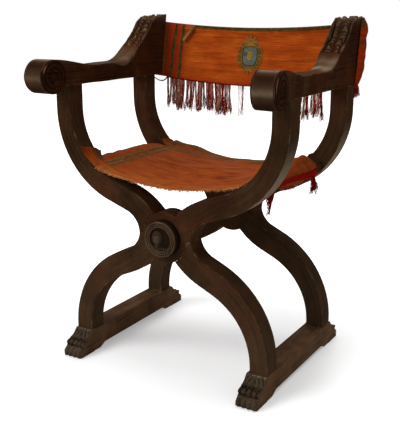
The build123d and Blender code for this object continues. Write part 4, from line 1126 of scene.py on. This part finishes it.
# The panel's plan, from the middle: the bow to the block (point BLOCK), the block's rear face, the
# turn round its rear edge (from point EDGE on) and the wrap on its outer face.
BLOCK, EDGE = 119, 138
bow_radius = (BLOCK_INNER_X**2 + BACK_BOW**2) / (2 * BACK_BOW)
plan_x = np.linspace(0, BLOCK_INNER_X, 120)
plan = np.c_[plan_x, BACK_OFFSET + BACK_BOW - bow_radius + np.sqrt(bow_radius**2 - plan_x**2)]
straight = np.c_[np.linspace(BLOCK_INNER_X, WRAP_CORNER[0], 12)[1:], np.full(11, BACK_OFFSET)]
turns = np.linspace(0, np.pi / 2, 14)[1:, None]
corner = np.array(WRAP_CORNER) + WRAP_RADIUS * np.c_[np.sin(turns), np.cos(turns)]
wrap_side = np.c_[np.full(6, WRAP_CORNER[0] + WRAP_RADIUS), np.linspace(WRAP_CORNER[1], WRAP_END, 7)[1:]]
back_path = np.concatenate([plan, straight, corner, wrap_side])
back_steps = steps_along(back_path)
block_u, edge_u, back_end = back_steps[[BLOCK, EDGE, -1]]
WRAP_RISE = (block_u + 0.010, block_u + 0.034)


def sagging(x, hem):
    """Height at x of a hem (height at the ends, height in the middle), an arc 676 mm wide."""
    half, sag = 0.338, hem[0] - hem[1]
    radius = (half**2 + sag**2) / (2 * sag)
    return hem[1] + radius - np.sqrt(radius**2 - np.clip(x, -half, half) ** 2)


ROLL_HEIGHTS = (0.735, 0.755, 0.771, 0.796, 0.822, 0.840, 0.852, 0.868, 0.888, 0.902)
ROLL_SIZES = (0.006, 0.0135, 0.0160, 0.0170, 0.0170, 0.0155, 0.0150, 0.0165, 0.0130, 0.004)
PULLS = (  # middle in z, from and to in x, height and width in mm, drift of the middle
    (0.868, -0.25, 0.05, 2.2, 4.0, -0.012), (0.846, -0.22, -0.02, 1.8, 5.0, 0.004),
    (0.800, -0.20, -0.06, 1.4, 4.0, 0.004), (0.776, -0.21, 0.00, 2.0, 5.0, -0.006),
    (0.757, -0.18, 0.06, 1.8, 5.0, -0.006), (0.862, 0.02, 0.25, 2.0, 5.0, 0.010),
    (0.815, 0.06, 0.26, 1.8, 6.0, 0.006), (0.786, 0.05, 0.24, 1.8, 5.0, 0.008),
    (0.745, 0.04, 0.22, 1.6, 5.0, 0.004), (0.834, -0.26, -0.12, 1.2, 4.0, 0.000),
)


def back_relief(x, z):
    """Folds of the back panel, in metres to the front: long low ridges that run from the blocks."""
    height = 0.0007 * waves((x * 0.5, z * 2.0), 0.07, 51)
    for start, low, high, size, width, drift in PULLS:
        middle = start + drift * (x - low) / (high - low)
        window = plateau(x, low - 0.02, low + 0.06, high - 0.06, high + 0.02)
        height = height + size / 1000 * bell((z - middle) * 1000, 0, width) * window
    return height * np.clip(1 - (x / 0.274) ** 8, 0, 1)


def back_point(u, z, off=0.0):
    """Points of the back panel: u is the way along it from the middle, z the height, off a distance to
    its front. The plan is the bow, the block's rear face and the wrap, leaning with the blocks, and the
    slack of the cloth makes a crumpled roll of 4 to 17 mm round the block's rear edge."""
    u, z = np.broadcast_arrays(np.asarray(u, float), np.asarray(z, float))
    way = np.abs(u)
    x, deep, dx, dd = along_path(way, back_steps, back_path, 0.001)
    slack = bell(way, edge_u, 0.0095) * np.interp(z, ROLL_HEIGHTS, ROLL_SIZES)
    slack = slack * (1 + 0.05 * waves((way * 1.5, z), 0.026, 33))
    move = back_relief(np.where(u < 0, -x, x), z) + off - slack
    x = x + dd * move
    deep = deep - dx * move
    up = (z - BACK_FOOT[1] + deep * math.sin(LEAN)) / math.cos(LEAN)
    y = BACK_FOOT[0] + deep * math.cos(LEAN) + up * math.sin(LEAN)
    return joined(np.where(u < 0, -x, x), y, z)


ways = np.concatenate([np.linspace(0, block_u, 130), np.linspace(block_u, back_end, 40)[1:]])
ways = np.concatenate([-ways[:0:-1], ways])
u, t = np.meshgrid(ways, np.linspace(0, 1, 84), indexing="ij")
way = np.abs(u)
x_at = np.sign(u) * np.interp(way, back_steps, back_path[:, 0])
low_z, high_z = sagging(x_at, LOW_HEM), sagging(x_at, TOP_HEM)
uneven = 0.0006 * waves((u, 0), 0.045, 71) * (1 - t)
peak = smoothstep(way, *WRAP_RISE) * (0.008 + 0.0030 * waves((u, 0), 0.012, 72))
z = low_z + (high_z - low_z) * t + uneven + peak * smoothstep(t, 0.85, 1.0)
red = -0.75 * plateau(-u, block_u - 0.085, block_u - 0.05, block_u - 0.01, block_u)
red = red - 1.0 * np.exp(-(z - low_z) / 0.006) - 0.35 * np.exp(-(high_z - z) / 0.004)
red = red - 0.60 * smoothstep(way, block_u, block_u + 0.02)
red = red - 0.35 * np.clip(waves((u, z), 0.014, 35), 0, 1) * (way > block_u + 0.02)
soil = smoothstep(t, 0.84, 0.93) * smoothstep(way, block_u + 0.012, block_u + 0.022)
soil = soil * np.clip(1.10 + 0.5 * waves((u, z), 0.009, 36), 0, 1.1)
# painted shade on the panel along the inner face of each block
soil = soil + 0.75 * bell(way, block_u, 0.012) * (way < block_u)
soil = soil + 0.65 * bell(z, 0.842, 0.006) * smoothstep(u, block_u + 0.02, block_u + 0.03)
back_parts = [(back_point(u, z), (u, z), red, soil)]
back_cloth = cloth_object("back_cloth", back_parts, CLOTH_THICKNESS, back_silk)


# --- back galloons --------------------------------------------------------------------------------

# The same galloon runs along the top edge and, twice, down the left end of the panel. The top band
# has come loose at its left end and hangs out in a flap.
def top_line(u):
    """Height of the middle of the top band, at u along the panel."""
    return sagging(u, TOP_HEM) - 0.0050 + 0.006 * smoothstep(np.abs(u), *WRAP_RISE)


FLAP_U = -0.178
olive_galloon = galloon_weave("olive_galloon", "#2c1d0b", "#4c3413", "#6a4f22")
line = np.linspace(FLAP_U, back_end - 0.003, 230)
back_bands = [band(back_point, np.c_[line, top_line(line)], (0, 1), 0.0016)]
for x, slant in ((-0.242, 0.008), (-0.218, 0.004)):
    low, high = sagging(x, LOW_HEM) + 0.001, sagging(x, TOP_HEM) - 0.001
    rows = np.linspace(low, high, 70)
    wander = x - slant * (high - rows) / (high - low) + 0.0008 * np.sin(rows * 60)
    back_bands.append(band(back_point, np.c_[wander, rows], (1, 0), 0.0014))
s = np.linspace(0, 1, 26)
flap = np.c_[FLAP_U - 0.026 * s - 0.006 * s**2, top_line(FLAP_U) - 0.040 * s**1.3]
points, weft, edge, clean = band(back_point, flap, (0.75, -0.65), 0.0018)
away = 0.010 * np.sin(np.pi * np.clip(s * 0.75, 0, 1))[:, None]
points[..., 1] -= away * (1 + 0.35 * np.linspace(-1, 1, 7)[None])
back_bands.append((points, weft, edge + 0.9 * s[:, None], clean))
back_trim = cloth_object("back_galloon_bands", back_bands, GALLOON_THICKNESS, olive_galloon)
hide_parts("back_top_galloon", "back_side_galloons")


# --- embroidery -----------------------------------------------------------------------------------

# A cartouche worked apart and applied to the panel: an oval field of blue-green silk with a sprig in
# gold thread, a couched gold rim, and leafy scrolls in olive and gold round it.
BADGE = (0.007, 0.796)


def couched_silk(name):
    """Embroidery thread in the colour of each point, laid in fine stitches of 0.7 mm."""
    made, tree, shader = new_material(name)
    stitch = noise(tree, reading(tree, "cloth", "Vector"), (1300, 1300, 300), 2)
    colour = reading(tree, "thread", "Color")
    body = layered(tree, colour, (stitch, 0.38, 0.62, 0.55, "#2a2010", "MULTIPLY"))
    plug(tree, shader, {
        "Base Color": body, "Normal": raised(tree, stitch, 0.0004, 0.8), "Roughness": 0.6,
        "Specular IOR Level": 0.1,
    })
    return made


badge_silk = couched_silk("embroidery_silk")


def on_badge(p, q, off):
    """A point p to the right and q up from the middle of the embroidery, off in front of the panel."""
    return back_point(BADGE[0] + p, BADGE[1] + q, off)


def cords_on_badge(curves, width, height, colour, base=0.0014):
    """Points, faces and colour of padded cords along curves, (k, n, 2) on the embroidery. Each section
    is half an ellipse, wide at the middle and pointed at both ends."""
    curves = np.asarray(curves, float)
    ahead = directions(curves)
    a = full_turn(8)
    taper = np.clip(np.sin(np.pi * np.linspace(0.03, 0.97, curves.shape[1])), 0, 1)[None, :, None] ** 0.45
    apart = np.cos(a) * width / 2 * taper
    p = curves[..., :1] - ahead[..., 1:] * apart
    q = curves[..., 1:] + ahead[..., :1] * apart
    off = base + taper * height * np.sin(a) * np.where(np.sin(a) > 0, 1.0, 0.2)
    return *tubes(on_badge(p, q, off)), colour


def curl(start, heading, length, turn, count=26):
    """A curl, its start and length in mm: its heading changes faster as it goes, by turn s^1.6 degrees
    after a share s of its length."""
    heading = np.radians(heading + turn * np.linspace(0, 1, count) ** 1.6)[:-1]
    steps = np.c_[np.cos(heading), np.sin(heading)] * length / (count - 1)
    return (start + np.concatenate([[(0, 0)], np.cumsum(steps, axis=0)])) / 1000


def both_sides(curves):
    """The curves and their mirror images."""
    curves = np.array(curves)
    return np.concatenate([curves, curves * [-1, 1]])


def cartouche(b):
    """The outline of the field at angles b, in mm 23 sin^0.55 b wide, with a square top of
    24 cos^0.45 b and a round foot of 28 cos^0.85 b."""
    sine, cosine = np.sin(b), np.cos(b)
    p = 23 * np.sign(sine) * np.abs(sine) ** 0.55
    q = np.where(cosine > 0, 24 * np.abs(cosine) ** 0.45, -28 * np.abs(cosine) ** 0.85)
    return joined(p, q) / 1000


scrolls, leaves = [], []
for number, turn in enumerate(np.linspace(-76, 82, 10)):
    start = np.array([26 * math.cos(math.radians(turn)), 30 * math.sin(math.radians(turn))])
    way = 1 if number % 2 else -1
    scrolls.append(curl(start, turn - 50 * way, 32, 330 * way))
    leaves.append(curl(start * 1.10, turn + 28 * way, 17, 75 * way))
    leaves.append(curl(start * 1.02, turn - 70 * way, 13, 60 * way))
fan = (0, 24, -24, 48, -48, 72, -72)
crest = [curl((0, 27), 90 + turn, 38 - abs(turn) / 4, turn * 0.9) for turn in fan]
foot = [curl((0, -29), -90 + turn, 27 - abs(turn) / 6, turn * 0.9) for turn in (0, 30, -30)]
sprig = [curl((0, -18), 90, 34, 0)]
sprig += [curl((0, k), 90 + turn, 13, -turn * 0.7) for k in (-12, -4, 4) for turn in (52, -52)]
outline = cartouche(np.linspace(0, 2 * np.pi, 121))
r = np.concatenate([np.linspace(0.02, 1, 26), [1.0]])[:, None]
b = full_turn(96)[None]
dome = 0.0016 + 0.0008 * (1 - r**2) + 0 * b
dome[-1] = 0.0002
place = r[..., None] * cartouche(b)
field = on_badge(place[..., 0], place[..., 1], dome)
badge_parts = [
    (*tubes(field[None]), "#586459"),
    cords_on_badge(both_sides(scrolls), 0.0034, 0.0012, "#8c5c1a"),
    cords_on_badge(both_sides(leaves), 0.0056, 0.0010, "#664d1a"),
    cords_on_badge(crest, 0.0060, 0.0012, "#8a611a"),
    cords_on_badge(foot, 0.0054, 0.0012, "#84561a"),
    cords_on_badge(sprig, 0.0040, 0.0012, "#a97a20", 0.0026),
    cords_on_badge([outline * 1.12], 0.0034, 0.0012, "#7e5f22"),
    cords_on_badge([outline], 0.0030, 0.0018, "#2e331f"),
]
faces, start = [], 0
for part, part_faces, _ in badge_parts:
    faces += [corners + start for corners in part_faces]
    start += len(part)
points = np.concatenate([part for part, _, _ in badge_parts])
colours = np.concatenate([np.tile(linear(colour)[:3], (len(part), 1)) for part, _, colour in badge_parts])
badge = mesh_object("back_embroidery", points, faces, [badge_silk], thread=colours, cloth=points)
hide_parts("back_applique")


# --- back fringe ----------------------------------------------------------------------------------

# A fringe of red silk thread is sewn behind the lower hem. Long stretches are lost, and what is left
# hangs in tufts. A tuft is left under the right end of the wrap, and one thread has slipped its knot.
FRINGE_LENGTH = 0.096
FRINGE_SPANS = ((-0.262, -0.106, 800), (-0.102, -0.048, 250), (-0.024, 0.002, 20), (0.150, 0.238, 380))
TUFT_WIDTH = 0.0055
WRAP_TUFT = ((0.3365, 0.3380), (0.212, 0.236), (0.735, 0.742))
WRAP_THREADS = 130
random = np.random.default_rng(404)
roots, clump, tones, long = [], [], [], []
for low, high, count in FRINGE_SPANS:
    x = np.sort(random.uniform(low, high, count))
    groups = ((x - low) / TUFT_WIDTH).astype(int)
    tufts = groups.max() + 1
    kept = random.uniform(size=tufts) > 0.05
    jitter = 0.84 + 0.18 * random.uniform(size=tufts)
    place = back_point(x, sagging(x, LOW_HEM) + 0.003, -0.0012)
    place[:, 1] += random.uniform(0, 0.002, count)
    faded = random.uniform(size=tufts)[groups] ** 2 * 0.75
    tone = np.clip(random.uniform(0.25, 0.92, count) + faded * random.uniform(0.2, 1.2, count), 0, 1)
    keep = kept[groups]
    roots.append(place[keep])
    clump.append(groups[keep] + (max(c.max() for c in clump) + 1 if clump else 0))
    tones.append(tone[keep])
    long.append((FRINGE_LENGTH * jitter[groups] * random.uniform(0.86, 1.05, count))[keep])
roots, clump, tones, long = (np.concatenate(part) for part in (roots, clump, tones, long))
hung = hanging(roots, long, 7, clump, 0.0050)
back_fringe = threads("back_fringe_threads", hung, 0.00088, tones, fringe_silk)
line = np.linspace(-0.262, 0.272, 260)
twists = (line * 700 + k * 2.1 for k in range(3))
height = sagging(line, LOW_HEM)
braid = [back_point(line, height + 0.0010 * np.sin(t), 0.0009 * np.cos(t)) for t in twists]
back_braid = threads("back_fringe_braid", np.array(braid), 0.0021, [0.25, 0.32, 0.28], fringe_silk, 6)
roots = joined(*[random.uniform(low, high, WRAP_THREADS) for low, high in WRAP_TUFT])
long = random.uniform(0.015, 0.040, WRAP_THREADS)
hung = hanging(roots, long, 9, np.arange(WRAP_THREADS) // 18, 0.005)
tuft = threads("wrap_tuft", hung, 0.0012, random.uniform(0.1, 0.8, WRAP_THREADS), fringe_silk)
s = np.linspace(0, 1, 30)
start = back_point(-0.258, 0.734, -0.001)
sag = 0.018 * np.sin(np.pi * s**0.7) + 0.004 * s
loop = joined(start[0] - 0.046 * s, start[1] - 0.022 * s, start[2] - sag)
slipped = threads("slipped_thread", loop[None], 0.0042 - 0.002 * s, [0.05], fringe_silk, 8)
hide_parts("back_fringe")

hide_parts("back_panel")
for piece in (back_cloth, back_trim, badge, back_fringe, back_braid, slipped):
    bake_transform(piece)
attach(tuft, "right_frame")


# --- nails ----------------------------------------------------------------------------------------

# Domed brass nails, gone dark, hold the wrap of the panel on the outer face of each block.
old_brass, tree, shader = new_material("old_brass")
tarnish = noise(tree, here_in(tree), (420, 420, 420), 4)
plug(tree, shader, {
    "Base Color": ramp(tree, tarnish, (0.35, "#2c2113"), (0.6, "#6d5528")), "Metallic": 0.9,
    "Roughness": span(tree, tarnish, 0.3, 0.7, 0.35, 0.6), "Normal": raised(tree, tarnish, 0.0002, 0.6),
})
for node in ("back_nails_left", "back_nails_right"):
    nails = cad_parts[node]
    for slot in nails.material_slots:
        slot.material = old_brass


# --- studio ---------------------------------------------------------------------------------------

# A plain white floor and wide soft lamps. To the camera, to gloss and through glass the floor and the
# world are white, and the floor keeps the shadow of the chair.
def seen_white(tree):
    """1 for rays from the camera, off gloss and through glass, and 0 for the others."""
    rays = add(tree, "ShaderNodeLightPath").outputs
    seen = maths(tree, "MAXIMUM", rays["Is Camera Ray"], rays["Is Glossy Ray"])
    return maths(tree, "MAXIMUM", seen, rays["Is Transmission Ray"])


floor_white, tree, shader = new_material("studio_floor")
tree.nodes.remove(shader)
matt = add(tree, "ShaderNodeBsdfDiffuse", {"Color": "#e4e4e4"})
away = add(tree, "ShaderNodeVectorMath", {0: here_in(tree)}, operation="LENGTH").outputs["Value"]
glow = maths(tree, "MULTIPLY", seen_white(tree), span(tree, away, 0.35, 1.2, 0.30, 1.0))
glow = add(tree, "ShaderNodeEmission", {"Color": "#ffffff", "Strength": glow})
both = add(tree, "ShaderNodeAddShader", {0: matt.outputs[0], 1: glow.outputs[0]})
tree.links.new(both.outputs[0], tree.nodes["Material Output"].inputs["Surface"])

corners = np.array([[-6, -6, 0], [6, -6, 0], [6, 6, 0], [-6, 6, 0]], float)
floor = mesh_object("floor", corners, [np.array([[0, 1, 2, 3]])], [floor_white])

world = bpy.context.scene.world or bpy.data.worlds.new("studio")
bpy.context.scene.world = world
world.use_nodes = True
tree = world.node_tree
tree.nodes.clear()
lit = add(tree, "ShaderNodeBackground", {"Color": "#ffffff", "Strength": 0.42})
backdrop = add(tree, "ShaderNodeBackground", {"Color": "#ffffff", "Strength": 1.0})
either = {0: seen_white(tree), 1: lit.outputs[0], 2: backdrop.outputs[0]}
either = add(tree, "ShaderNodeMixShader", either).outputs[0]
add(tree, "ShaderNodeOutputWorld", {"Surface": either})

TARGET = (0.0, 0.0015, 0.430)
for name, place, size, power in (
    ("key_lamp", (-1.5, -2.3, 2.6), 1.8, 78),
    ("side_lamp", (2.8, -1.6, 0.9), 1.6, 4),
    ("top_lamp", (0.2, 0.4, 3.0), 2.0, 40),
    ("back_lamp", (-0.8, 2.6, 1.8), 1.6, 14),
):
    data = bpy.data.lights.new(name, "AREA")
    data.size = size
    data.energy = power
    lamp = placed(name, data)
    lamp.location = place
    way = [t - p for t, p in zip(TARGET, place)]
    flat = math.hypot(way[0], way[1])
    lamp.rotation_euler = (math.atan2(flat, -way[2]), 0, math.atan2(way[1], way[0]) - math.pi / 2)

AZIMUTH, ELEVATION, DISTANCE = math.radians(31.3), math.radians(14.3), 2.0505
data = bpy.data.cameras.new("camera")
data.sensor_width = 36
data.lens = 64.45
data.shift_x = -0.0021
data.shift_y = -0.033
camera = placed("camera", data)
camera.location = (
    TARGET[0] + DISTANCE * math.cos(ELEVATION) * math.sin(AZIMUTH),
    TARGET[1] - DISTANCE * math.cos(ELEVATION) * math.cos(AZIMUTH),
    TARGET[2] + DISTANCE * math.sin(ELEVATION),
)
camera.rotation_euler = (math.pi / 2 - ELEVATION, 0, AZIMUTH)
bpy.context.scene.camera = camera
bpy.context.scene.view_settings.view_transform = "Standard"
